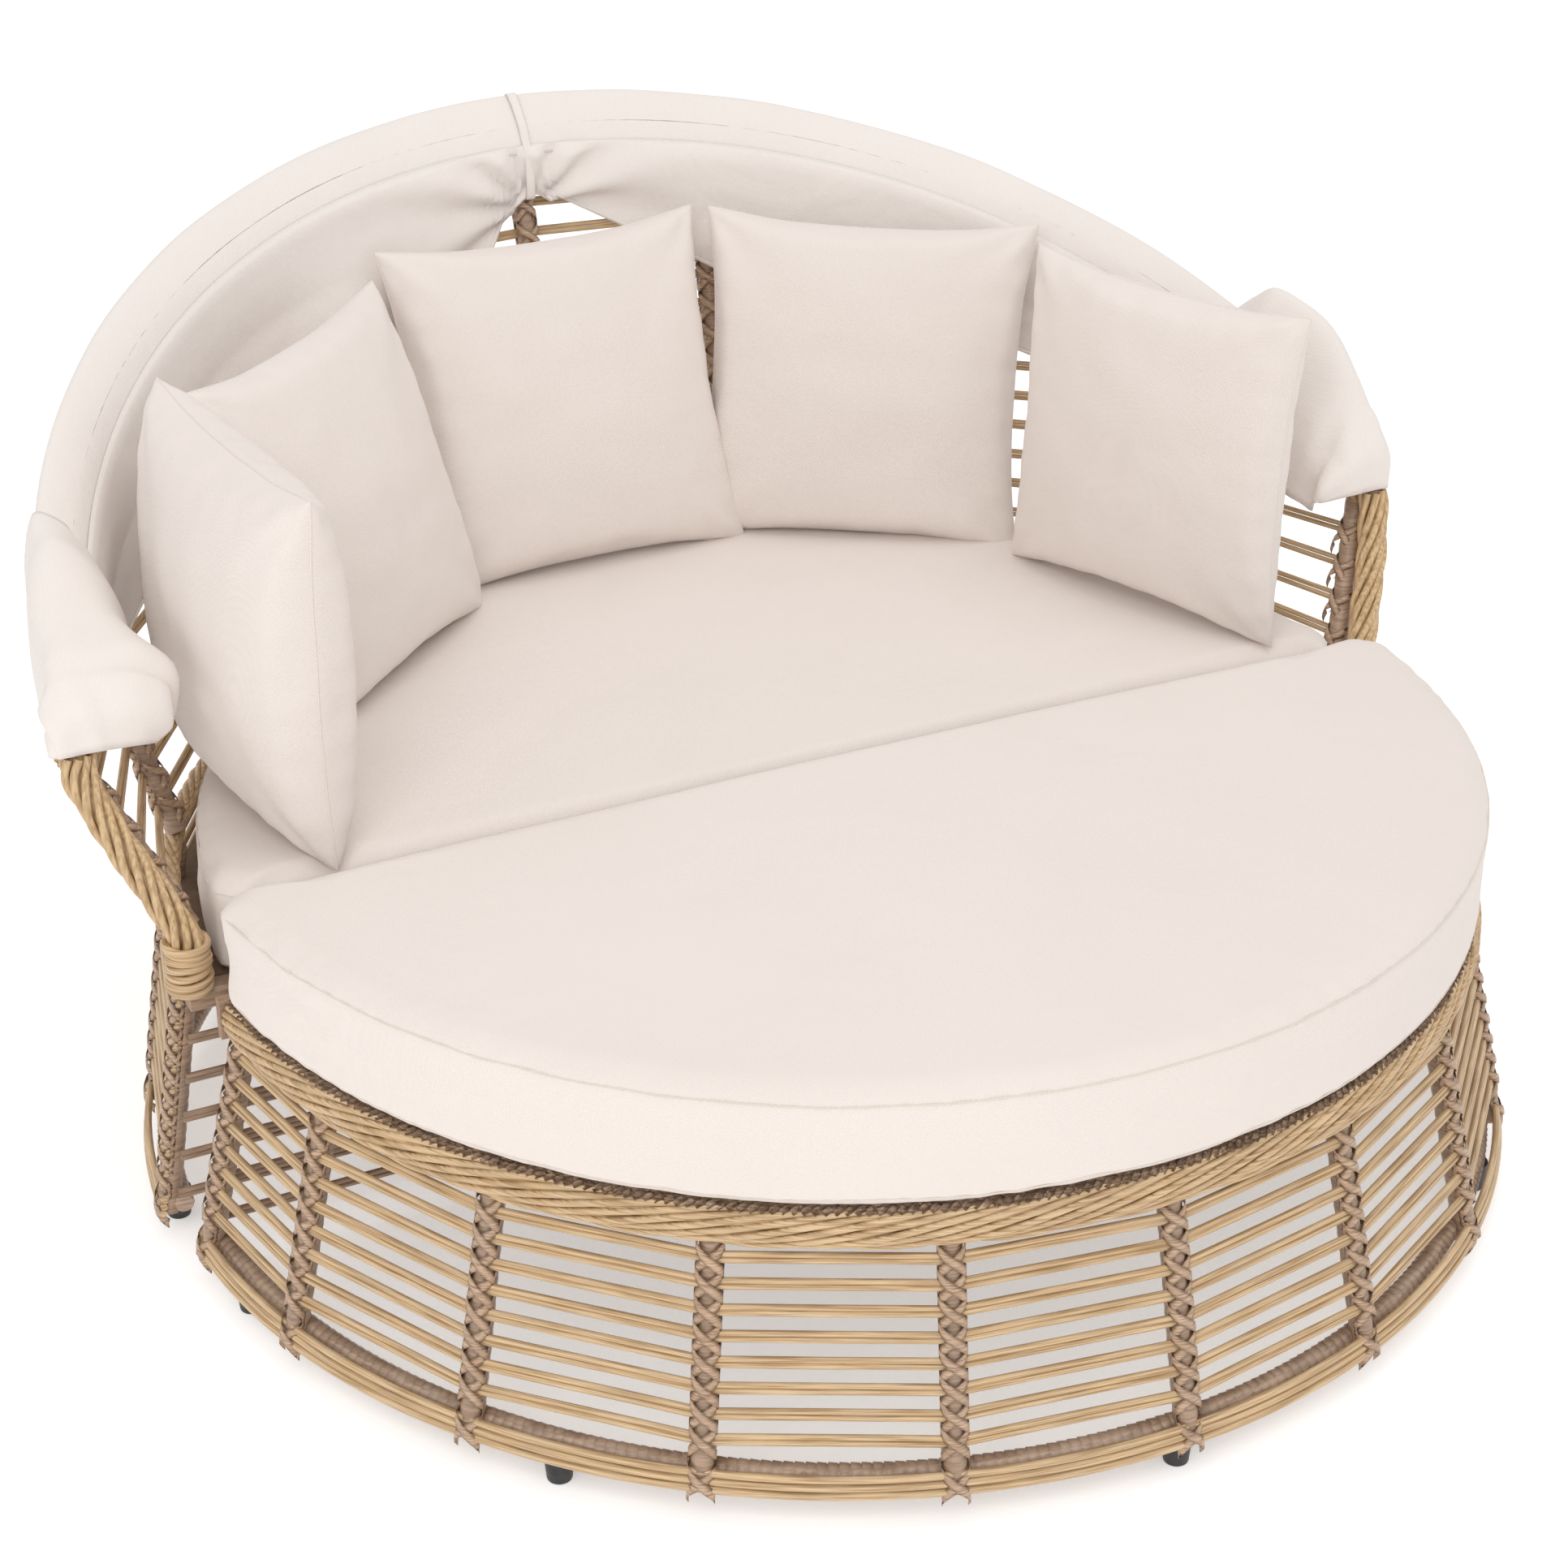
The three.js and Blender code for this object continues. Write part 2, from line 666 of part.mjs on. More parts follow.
// The sofa's lower half: ring, walls, waist band, rails, deck, cushion and feet
function buildSofaBase() {
  const edges = columnEdges(sofaColumns);
  const ringRadius = insideWall(sofaBaseRadius, sofaWaistRadius, sofaWallTop, ringTouchZ) - baseTubeRadius;
  const tube = flatSection(baseTubeRadius, baseTubeRadius, tubeSides);
  addMesh('sofa_base_ring', arcBand(ringRadius, 0, edges, tube, () => baseZ), looks.wrap());
  addCurvedWall('sofa_wall', sofaSpec, sofaPanels, sofaColumns);
  const lift = Math.sin(sofaFirstAngle);
  const backY = (sofaWaistRadius - wallThickness) * lift - seatGap;
  addFlatWall('sofa_front_wall', {
    ...sofaSpec, endAngle: sofaFirstAngle, frontY: backY - wallThickness, backY,
    railBottom: sofaRailTop - sofaRailHeight,
  });
  const railHalf = sofaWaistRadius * Math.cos(sofaFirstAngle);
  const rail = bandSection(sofaRailDepth / 2, sofaRailHeight / 2);
  const railY = backY - sofaRailDepth / 2;
  const railZ = sofaRailTop - sofaRailHeight / 2;
  const railRing = (x) => rail.map(([u, v]) => new THREE.Vector3(x, railY + u, railZ + v));
  addMesh('sofa_front_rail', loft([railRing(-railHalf), railRing(railHalf)]), looks.wrap());
  const waist = bandSection(waistBandWidth / 2, waistBandHeight / 2);
  const bandAngles = steps(sofaFirstAngle, sofaLastAngle, rimSteps);
  const waistZ = sofaWallTop + waistBandHeight / 2;
  addMesh('sofa_waist_band', arcBand(waistMiddle, 0, bandAngles, waist, () => waistZ), looks.braid());
  const deckRadius = insideWall(sofaBaseRadius, sofaWaistRadius, sofaWallTop, sofaRailTop);
  addDeck('sofa_deck', deckRadius, 0, edges, backY + seatGap, sofaRailTop);
  addCushion('sofa_cushion', sofaCushionRadius, 0, sofaCushionFrontY, 1,
    sofaRailTop + seatGap, sofaCushionHeight);
  addFeet('sofa', ringRadius, 0, sofaFootAngles);
}

// The flared back in six panels, the tilted rim and the two braided arm posts
function buildSofaBack() {
  const rows = Array.from({ length: backRows }, (_, j) => backBottom + backFirstRise + j * backPitch);
  const rowsAt = (angle) => rows.filter((z) => z + reedHeight + backTopMargin < backTop(angle)).length;
  for (let i = 0; i < backPanels; i += 1) {
    const picked = panelColumns(sofaColumns, i, sofaBays / backPanels, seatGap / sofaWaistRadius);
    const geometry = wovenPanel(picked, rows, backPlace, backBottom, backTop, rowsAt);
    addMesh(`sofa_back_${i + 1}`, geometry, looks.reed());
  }
  const rim = bandSection(rimWidth / 2, rimHeight / 2);
  const rimAngles = steps(sofaFirstAngle, sofaLastAngle, rimSteps);
  const rimBody = arcBand(rimRadius, rimCentreY, rimAngles, rim, (y) => rimPlane(y) - rimHeight / 2);
  addMesh('sofa_back_rim', rimBody, looks.braid());
  const foot = point(waistMiddle - waistBandWidth / 2, sofaFirstAngle, 0, sofaRailTop + seatGap);
  const head = point(rimRadius - rimWidth / 2, sofaFirstAngle, rimCentreY, backTop(sofaFirstAngle));
  const section = bandSection(armPostWidth / 2, armPostDepth / 2);
  const levels = [[foot, foot.z], [foot, backBottom], [head, head.z], [head, null]];
  [['left', -1], ['right', 1]].forEach(([side, sign]) => {
    const rings = levels.map(([at, z]) => section.map(([u, v]) => {
      const y = at.y - seatGap - armPostDepth / 2 + v;
      return new THREE.Vector3(sign * (at.x + armPostInset + u), y, z ?? rimPlane(y));
    }));
    addMesh(`arm_post_${side}`, loft(rings), looks.braid());
  });
}

const hingeX = Math.sqrt(bowRadius ** 2 - (hingeY - rimCentreY) ** 2);
const hingeZ = rimPlane(hingeY) + hingeRise;
const platePitch = bowPlateThickness + bowPlateGap;
const bowPitch = 2 * bowTubeRadius + bowSpacing;
const bowRise = (k) => (bowTubeRadius + seatGap + k * bowPitch) / Math.cos(rimSlope);
const plateX = (k) => hingeX + (k - (bowCount - 1) / 2) * platePitch;
const roundAngle = Math.asin((hingeY + bowRoundReach - rimCentreY) / bowRadius);
const bowAngles = steps(roundAngle, Math.PI - roundAngle, bowSteps);
const bowFlat = Math.cos(Math.PI / bowSides) * bowTubeRadius;

function discRing(x, radius, sides) {
  return Array.from({ length: sides }, (_, i) => {
    const turn = (2 * Math.PI * i) / sides;
    return new THREE.Vector3(x, hingeY + radius * Math.cos(turn), hingeZ + radius * Math.sin(turn));
  });
}

const eyeSides = 10;
const hexSection = (halfWidth, halfHeight) => Array.from({ length: bowSides }, (_, i) => {
  const turn = ((i + 0.5) * 2 * Math.PI) / bowSides;
  return [(halfWidth * Math.cos(turn)) / Math.cos(Math.PI / bowSides), halfHeight * Math.sin(turn)];
});

// One bow: a round tube with two flattened ends, each with an eye for the hinge bolt
function bowGeometry(k) {
  const round = hexSection(bowFlat, bowTubeRadius);
  const flat = hexSection(bowPlateThickness / 2, bowPlateHeight / 2);
  const reachY = hingeY + bowPlateReach;
  const endRings = (sign) => [[hingeY, hingeZ], [reachY, rimPlane(reachY) + bowRise(k)]].map(([y, z]) => (
    flat.map(([u, v]) => new THREE.Vector3(sign * (plateX(k) + u), y, z + v))
  ));
  const arc = bowAngles.map((angle) => round.map(([u, v]) => {
    const centreZ = rimPlane(rimCentreY + bowRadius * Math.sin(angle)) + bowRise(k);
    return point(bowRadius + u, angle, rimCentreY, centreZ + v);
  }));
  let solid = toManifold(loft([...endRings(1), ...arc, ...endRings(-1).reverse()]));
  [1, -1].forEach((sign) => {
    const inner = sign * (plateX(k) - bowPlateThickness / 2);
    const outer = sign * (plateX(k) + bowPlateThickness / 2);
    const eye = toManifold(loft([inner, outer].map((x) => discRing(x, eyeRadius, eyeSides))));
    const hole = boltRadius + boltClearance;
    const cut = [inner - sign * bowPlateThickness, outer + sign * bowPlateThickness];
    const drill = toManifold(loft(cut.map((x) => discRing(x, hole, eyeSides))));
    solid = solid.add(eye).subtract(drill);
  });
  return fromManifold(solid);
}

// Hinge brackets on the arms and the bolts that carry every bow
function buildHinges() {
  const stackInner = plateX(0) - bowPlateThickness / 2;
  const stackOuter = plateX(bowCount - 1) + bowPlateThickness / 2;
  const uprightOuter = stackInner - seatGap;
  const uprightInner = uprightOuter - bracketThickness;
  const half = bracketWidth / 2;
  [['left', -1], ['right', 1]].forEach(([side, sign]) => {
    const slab = (xs, low, high) => loft(xs.map((x) => [
      new THREE.Vector3(sign * x, hingeY - half, low(hingeY - half)),
      new THREE.Vector3(sign * x, hingeY + half, low(hingeY + half)),
      new THREE.Vector3(sign * x, hingeY + half, high(hingeY + half)),
      new THREE.Vector3(sign * x, hingeY - half, high(hingeY - half)),
    ]));
    const flangeTop = (y) => rimPlane(y) + seatGap + bracketFlangeThickness;
    const foot = (y) => rimPlane(y) + seatGap;
    const upright = slab([uprightInner, uprightOuter], foot, () => hingeZ + bracketTopMargin);
    const flange = slab([uprightInner, stackOuter], foot, flangeTop);
    const reach = [uprightInner - bracketThickness, uprightOuter + bracketThickness];
    const drill = loft(reach.map((x) => discRing(sign * x, boltRadius + boltClearance, eyeSides)));
    const solid = toManifold(upright).add(toManifold(flange)).subtract(toManifold(drill));
    addMesh(`hinge_bracket_${side}`, fromManifold(solid), looks.steel());
    const headInner = uprightInner - seatGap;
    const nutInner = stackOuter + seatGap;
    const shape = [
      [headInner - boltHeadLength, boltHeadRadius], [headInner, boltHeadRadius], [headInner, boltRadius],
      [nutInner, boltRadius], [nutInner, boltHeadRadius], [nutInner + boltHeadLength, boltHeadRadius],
    ];
    const rings = shape.map(([x, radius]) => discRing(sign * x, radius, eyeSides));
    addMesh(`hinge_bolt_${side}`, loft(rings), looks.steel());
  });
}

// Cloth profiles in the radius and rise plane of the rim
const sleeveMiddleShares = [0.7, 0.36];
const sleeveSeamShare = 0.84;
const sleeveOuter = bowRadius + bowFlat + sleeveEase;
const sleeveTop = bowRise(bowCount - 1) + bowTubeRadius / Math.cos(rimSlope) + sleeveRest;
const sleeveMiddle = sleeveMiddleShares.map((share) => share * sleeveInnerWidth);
const sleeveProfile = [
  [sleeveOuter, sleeveTop - sleeveOuterDrop], [sleeveOuter, sleeveTop - sleeveShoulder],
  [bowRadius + sleeveFall, sleeveTop], [bowRadius - sleeveShoulder, sleeveTop - sleeveFall],
  [bowRadius - sleeveMiddle[0], sleeveTop - sleeveMiddle[1]],
  [bowRadius - sleeveInnerWidth, sleeveTop - sleeveInnerWidth * sleeveSeamShare],
];

// The outer wall leans along the bows' path, so that it clears them as the canopy opens
const sleeveFlare = (sleeveOuterDrop - sleeveShoulder) * Math.sin(rimSlope) * Math.cos(rimSlope);
const flaredProfile = (angle) => sleeveProfile.map(([radius, rise], j) => (
  [radius + (j === 0 ? sleeveFlare * Math.sin(angle) : 0), rise]
));

// Radius on the straight run between two bow stations, for a radius at the stations
function chordRadius(radius, angle) {
  const pitch = (Math.PI - 2 * roundAngle) / bowSteps;
  const turn = angle - roundAngle;
  const fromMiddle = turn - (Math.floor(turn / pitch) + 0.5) * pitch;
  return (radius * Math.cos(pitch / 2)) / Math.cos(fromMiddle);
}

function rimPoint(radius, angle, rise) {
  const p = point(radius, angle, rimCentreY, 0);
  p.z = rimPlane(p.y) + rise;
  return p;
}

function profileSheet(angles, profileAt, thickness) {
  const grid = angles.map((angle, i) => (
    profileAt(i).map(([radius, rise]) => rimPoint(radius, angle, rise))
  ));
  return clothSheet(grid, (i, j) => {
    const normal = profileNormal(profileAt(i), j).multiplyScalar(thickness);
    const angle = angles[i];
    return new THREE.Vector3(normal.x * Math.cos(angle), normal.x * Math.sin(angle), normal.y);
  });
}

function buildCanopy() {
  ['canopy_rear_bow', 'canopy_second_bow', 'canopy_third_bow', 'canopy_front_bow'].forEach((name, k) => {
    addMesh(name, bowGeometry(k), looks.steel());
  });
  const goreStart = bowRadius - bowFlat - seatGap;
  ['canopy_rear_gore', 'canopy_middle_gore', 'canopy_front_gore'].forEach((name, k) => {
    const low = bowRise(k) + goreEdgeRise;
    const high = bowRise(k + 1) - goreEdgeRise;
    const profile = [[goreStart, low], [goreStart - goreFoldDepth, (low + high) / 2], [goreStart, high]];
    addMesh(name, profileSheet(bowAngles, () => profile.slice().reverse(), goreThickness), looks.fabric());
  });
  const sleeveAngles = [sleeveStart, ...bowAngles, Math.PI - sleeveStart];
  const sleeveAt = (i) => {
    const cover = Math.min(i, sleeveAngles.length - 1 - i) < hingeStations ? hingeCover : 0;
    const profile = flaredProfile(sleeveAngles[i]);
    return profile.map(([radius, rise], j) => [radius + (j < skirtPoints ? cover : 0), rise]);
  };
  addMesh('canopy_sleeve', profileSheet(sleeveAngles, sleeveAt, clothThickness), looks.fabric());
  addMesh('canopy_drape', drapeGeometry(), looks.fabric());
  addMesh('canopy_tie_strap', strapGeometry(), looks.fabric());
}

// How far below the rim's top the drape hangs: short at the arms, gathered up under the strap
function drapeDepth(angle) {
  const reach = lerp(drapeDepthArm, drapeDepthBack, Math.sin(angle) ** drapeSwellPower);
  const pull = Math.exp(-((Math.abs(angle - Math.PI / 2) / drapeGatherAngle) ** drapeGatherPower));
  return lerp(reach, strapDrop - strapTuck, pull);
}

// The slack cloth that hangs inside the back: it drops from the sleeve's seam with a few soft folds
function drapeGeometry() {
  const seam = sleeveProfile[sleeveProfile.length - 1];
  const top = [seam[0], seam[1] - seatGap];
  const angles = steps(drapeStart, Math.PI - drapeStart, drapeSteps);
  const grid = angles.map((angle) => steps(0, 1, drapeRows).map((share) => {
    const rise = lerp(top[1], -drapeDepth(angle), share);
    const p = rimPoint(chordRadius(top[0], angle), angle, rise);
    if (rise > -rimHeight) return p;
    const wall = backPlace(angle, p.z, true, false);
    const wallRadius = Math.hypot(wall.x, wall.y - rimCentreY);
    const fold = drapeFoldHeight * share * Math.sin(drapeFolds * angle);
    return rimPoint(Math.min(chordRadius(top[0], angle), wallRadius - drapeOffset) + fold, angle, rise);
  }));
  return clothSheet(grid, (i) => point(-clothThickness, angles[i], 0, 0));
}

// The strap that ties the folded canopy up in the middle of the back
function strapGeometry() {
  const seam = sleeveProfile[sleeveProfile.length - 1];
  const lowRadius = seam[0] - 2 * (clothThickness + seatGap) - strapClearance;
  const flared = flaredProfile(Math.PI / 2);
  const over = flared.slice(0, -1).map(([radius, rise], j) => {
    const normal = profileNormal(flared, j).multiplyScalar(clothThickness + strapClearance);
    return [radius + normal.x, rise + normal.y];
  });
  const profile = [...over, [lowRadius, seam[1]], [lowRadius, -strapDrop]];
  const half = strapWidth / 2 / bowRadius;
  const angles = [Math.PI / 2 - half, Math.PI / 2, Math.PI / 2 + half];
  const seated = angles.map((angle) => profile.map(([radius, rise]) => [chordRadius(radius, angle), rise]));
  return profileSheet(angles, (i) => seated[i], strapThickness);
}

function buildPillows() {
  pillowPlaces.forEach((place, i) => addPillow(`pillow_${i + 1}`, place));
}

buildOttoman();
buildSofaBase();
buildSofaBack();
buildHinges();
buildCanopy();
buildPillows();

// The origin lies on the ground under the middle of the whole daybed
const outline = new THREE.Box3().setFromObject(rootGroup);
rootGroup.position.y = -(outline.min.y + outline.max.y) / 2;

export default rootGroup;
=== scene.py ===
"""Round outdoor daybed: woven ottoman and sofa halves, cushions, pillows and a folded canopy.

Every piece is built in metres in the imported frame: +Z up, -Y towards the ottoman. Angles are in
degrees from +X towards +Y. A centre_y counts from the middle of the sofa's seat, at SHIFT_Y.
"""
import logging
import math
from dataclasses import dataclass
from enum import Enum
from functools import partial
from typing import Callable, Sequence

import bmesh
import bpy
from mathutils import Matrix, Vector, noise
from mathutils.bvhtree import BVHTree


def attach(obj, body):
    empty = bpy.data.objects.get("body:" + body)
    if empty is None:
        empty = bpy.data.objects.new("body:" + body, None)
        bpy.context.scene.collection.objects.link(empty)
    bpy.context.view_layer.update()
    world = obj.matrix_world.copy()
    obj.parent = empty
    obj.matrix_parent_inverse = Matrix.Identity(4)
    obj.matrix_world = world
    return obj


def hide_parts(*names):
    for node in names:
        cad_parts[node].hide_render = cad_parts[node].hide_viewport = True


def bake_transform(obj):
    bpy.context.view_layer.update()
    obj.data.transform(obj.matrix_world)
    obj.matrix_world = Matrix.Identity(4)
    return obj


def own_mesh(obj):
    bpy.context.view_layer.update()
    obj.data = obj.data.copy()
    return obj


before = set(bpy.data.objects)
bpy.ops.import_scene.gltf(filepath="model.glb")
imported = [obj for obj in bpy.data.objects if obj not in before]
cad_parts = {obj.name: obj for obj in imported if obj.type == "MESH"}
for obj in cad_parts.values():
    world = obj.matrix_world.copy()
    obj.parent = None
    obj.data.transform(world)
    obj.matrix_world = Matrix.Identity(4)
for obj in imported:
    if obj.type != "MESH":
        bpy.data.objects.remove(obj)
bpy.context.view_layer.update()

LOG = logging.getLogger("daybed")
SHIFT_Y = -0.08105
UP = Vector((0, 0, 1))
RIM_SLOPE = math.radians(24)
RIM_CENTRE_Y = 0.085
RIM_FRONT_Y, RIM_FRONT_Z = 0.120, 0.602  # where the rim's top meets the arms, seen from the side
BASE_Z = 0.050
POST_FOOT = 0.039
POST_SPAN = 0.030
CANVAS = 0.0016
SEAM_RADIUS = 0.0011
Place = Callable[[float, float, float], Vector]
Height = Callable[[float], float]


class Body(str, Enum):
    """The moving bodies that pieces ride on."""

    SOFA = "sofa"
    OTTOMAN = "ottoman"
    SECOND = "second_bow"
    THIRD = "third_bow"
    FRONT = "front_bow"


class Slot(str, Enum):
    """The record's material slots."""

    REED = "reed"
    BRAID = "braid"
    WRAP = "wrap"
    CUSHION = "cushion_fabric"
    CANOPY = "canopy_fabric"
    FEET = "feet_plastic"


# Shared geometry


def lerp(a: float, b: float, share: float) -> float:
    """Value that lies share of the way from a to b."""
    return a + (b - a) * share


def spread(first: float, last: float, count: int) -> list[float]:
    """Evenly spaced values from first to last, both included."""
    return [lerp(first, last, i / (count - 1)) for i in range(count)]


def polar(radius: float, angle: float, centre_y: float, z: float) -> Vector:
    """Point at an angle round a centre on the middle line."""
    turn = math.radians(angle)
    return Vector((radius * math.cos(turn), SHIFT_Y + centre_y + radius * math.sin(turn), z))


def outward(angle: float) -> Vector:
    """Level unit vector that points away from the centre at an angle."""
    return Vector((math.cos(math.radians(angle)), math.sin(math.radians(angle)), 0))


def rim_plane(y: float) -> float:
    """Height of the tilted rim's top at a packed-frame Y."""
    return RIM_FRONT_Z + math.tan(RIM_SLOPE) * (y - SHIFT_Y - RIM_FRONT_Y)


def rim_point(radius: float, angle: float, rise: float) -> Vector:
    """Point at a radius round the rim's centre, and at a rise above the rim's top."""
    at = polar(radius, angle, RIM_CENTRE_Y, 0)
    return Vector((at.x, at.y, rim_plane(at.y) + rise))


def smooth_path(points: Sequence[Vector], per_span: int) -> list[Vector]:
    """Runs a smooth line through points.

    Args:
        points: at least two points in order.
        per_span: how many steps each stretch between two points gets.

    Returns:
        The points of a Catmull-Rom line through all of them.
    """
    ends = [points[0] * 2 - points[1], *points, points[-1] * 2 - points[-2]]
    path = []
    for a, b, c, d in zip(ends, ends[1:], ends[2:], ends[3:]):
        for i in range(per_span):
            t = i / per_span
            path.append(0.5 * (2 * b + (c - a) * t + (2 * a - 5 * b + 4 * c - d) * t * t
                               + (3 * b - a - 3 * c + d) * t ** 3))
    return [*path, points[-1].copy()]


def along(points: Sequence[Sequence[float]], share: float) -> Vector:
    """Finds a place on a line of straight steps.

    Args:
        points: the line's points in order.
        share: how far through the list the place lies, from 0 to 1.

    Returns:
        The point there.
    """
    at = share * (len(points) - 1)
    low = min(int(at), len(points) - 2)
    return Vector(points[low]).lerp(Vector(points[low + 1]), at - low)


def link_object(name: str, data: bpy.types.ID) -> bpy.types.Object:
    """Puts data into the scene.

    Args:
        name: the object's name.
        data: its mesh, curve, light or camera.

    Returns:
        The new object, at the origin.
    """
    made = bpy.data.objects.new(name, data)
    bpy.context.scene.collection.objects.link(made)
    return made


def mesh_data(name: str, bm: bmesh.types.BMesh) -> bpy.types.Mesh:
    """Turns a bmesh into a smooth-shaded mesh and frees it.

    Args:
        name: the mesh's name.
        bm: the finished bmesh.

    Returns:
        The mesh.
    """
    data = bpy.data.meshes.new(name)
    for face in bm.faces:
        face.smooth = True
    bm.to_mesh(data)
    bm.free()
    return data


def merged(parts: Sequence[bmesh.types.BMesh]) -> bmesh.types.BMesh:
    """Puts several bmeshes into a new one.

    Args:
        parts: the bmeshes, which are freed.

    Returns:
        The bmesh that holds them all.
    """
    whole = bmesh.new()
    for part in parts:
        data = mesh_data("part", part)
        whole.from_mesh(data)
        bpy.data.meshes.remove(data)
    return whole


def frozen_mesh(source: bpy.types.Object) -> bpy.types.Mesh:
    """A new mesh with the object's modifiers applied."""
    bpy.context.view_layer.update()
    return bpy.data.meshes.new_from_object(source.evaluated_get(bpy.context.evaluated_depsgraph_get()))


def apply_modifiers(piece: bpy.types.Object) -> None:
    """Replaces a piece's mesh by what its modifiers make of it.

    Args:
        piece: the piece, which loses its modifiers.
    """
    old, piece.data = piece.data, frozen_mesh(piece)
    piece.modifiers.clear()
    bpy.data.meshes.remove(old)


def refine(piece: bpy.types.Object) -> None:
    """Subdivides a piece once and shades it smooth.

    Args:
        piece: the piece.
    """
    smooth = piece.modifiers.new("smooth", "SUBSURF")
    smooth.levels = smooth.render_levels = 1
    apply_modifiers(piece)
    piece.data.shade_smooth()


def surface_of(piece: bpy.types.Object) -> BVHTree:
    """The piece's faces, for finding the nearest point on them."""
    data = piece.data
    return BVHTree.FromPolygons([v.co for v in data.vertices], [p.vertices[:] for p in data.polygons])


@dataclass(frozen=True)
class Line:
    """One strand's middle line, with an optional thickness share at each point."""

    points: Sequence[Vector]
    swell: Sequence[float] = ()
    closed: bool = False


def strands(name: str, lines: Sequence[Line], radius: float, rounds: int = 2) -> bpy.types.Object:
    """Builds round strands along lines, as one mesh piece.

    Args:
        name: the piece's name.
        lines: the middle line of each strand.
        radius: the strands' radius.
        rounds: how finely their section is rounded.

    Returns:
        The mesh object that holds every strand.
    """
    curve = bpy.data.curves.new(name + "_lines", "CURVE")
    curve.dimensions = "3D"
    curve.bevel_depth = radius
    curve.bevel_resolution = rounds
    curve.use_fill_caps = True
    for line in lines:
        spline = curve.splines.new("POLY")
        spline.points.add(len(line.points) - 1)
        spline.use_cyclic_u = line.closed
        for i, (at, to) in enumerate(zip(spline.points, line.points)):
            at.co = (*to, 1)
            at.radius = line.swell[i] if line.swell else 1
    maker = link_object(name + "_maker", curve)
    data = frozen_mesh(maker)
    bpy.data.objects.remove(maker)
    data.name = name
    data.shade_smooth()
    return link_object(name, data)


def sheet_bmesh(across: int, along_it: int, place: Callable[[float, float], Vector]) -> bmesh.types.BMesh:
    """Shapes a flat grid into a surface.

    Args:
        across: squares in the first direction.
        along_it: squares in the second direction.
        place: gives the point for shares (u, v), each from 0 to 1.

    Returns:
        The shaped grid.
    """
    bm = bmesh.new()
    bmesh.ops.create_grid(bm, x_segments=across, y_segments=along_it, size=1)
    for vert in bm.verts:
        vert.co = place((vert.co.x + 1) / 2, (vert.co.y + 1) / 2)
    return bm


def thicken(bm: bmesh.types.BMesh, thickness: float) -> None:
    """Gives an open surface a thickness, with all its faces outwards."""
    bmesh.ops.solidify(bm, geom=bm.faces[:], thickness=thickness)
    bmesh.ops.recalc_face_normals(bm, faces=bm.faces)


def cloth_object(name: str, bm: bmesh.types.BMesh, thickness: float = CANVAS) -> bpy.types.Object:
    """Makes cloth of a shaped grid.

    Args:
        name: the piece's name.
        bm: the grid.
        thickness: the cloth's thickness.

    Returns:
        The mesh object.
    """
    bmesh.ops.recalc_face_normals(bm, faces=bm.faces)
    thicken(bm, thickness)
    return link_object(name, mesh_data(name, bm))


def join_copies(name: str, template: bpy.types.Mesh, places: Sequence[Matrix]) -> bpy.types.Object:
    """Sets a small template at many places.

    Args:
        name: the piece's name.
        template: the mesh that repeats.
        places: where each copy goes.

    Returns:
        One object that holds every copy.
    """
    bm = bmesh.new()
    for place in places:
        copy = template.copy()
        copy.transform(place)
        bm.from_mesh(copy)
        bpy.data.meshes.remove(copy)
    return link_object(name, mesh_data(name, bm))


def frame_at(origin: Vector, right: Vector, front: Vector) -> Matrix:
    """Sets up a template's axes.

    Args:
        origin: where they meet.
        right: the way X runs.
        front: the way -Y runs, square to right.

    Returns:
        The matrix from the template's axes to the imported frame.
    """
    x, y = right.normalized(), (-front).normalized()
    turned = Matrix((x, y, x.cross(y).normalized())).transposed().to_4x4()
    turned.translation = origin
    return turned


# Finishes


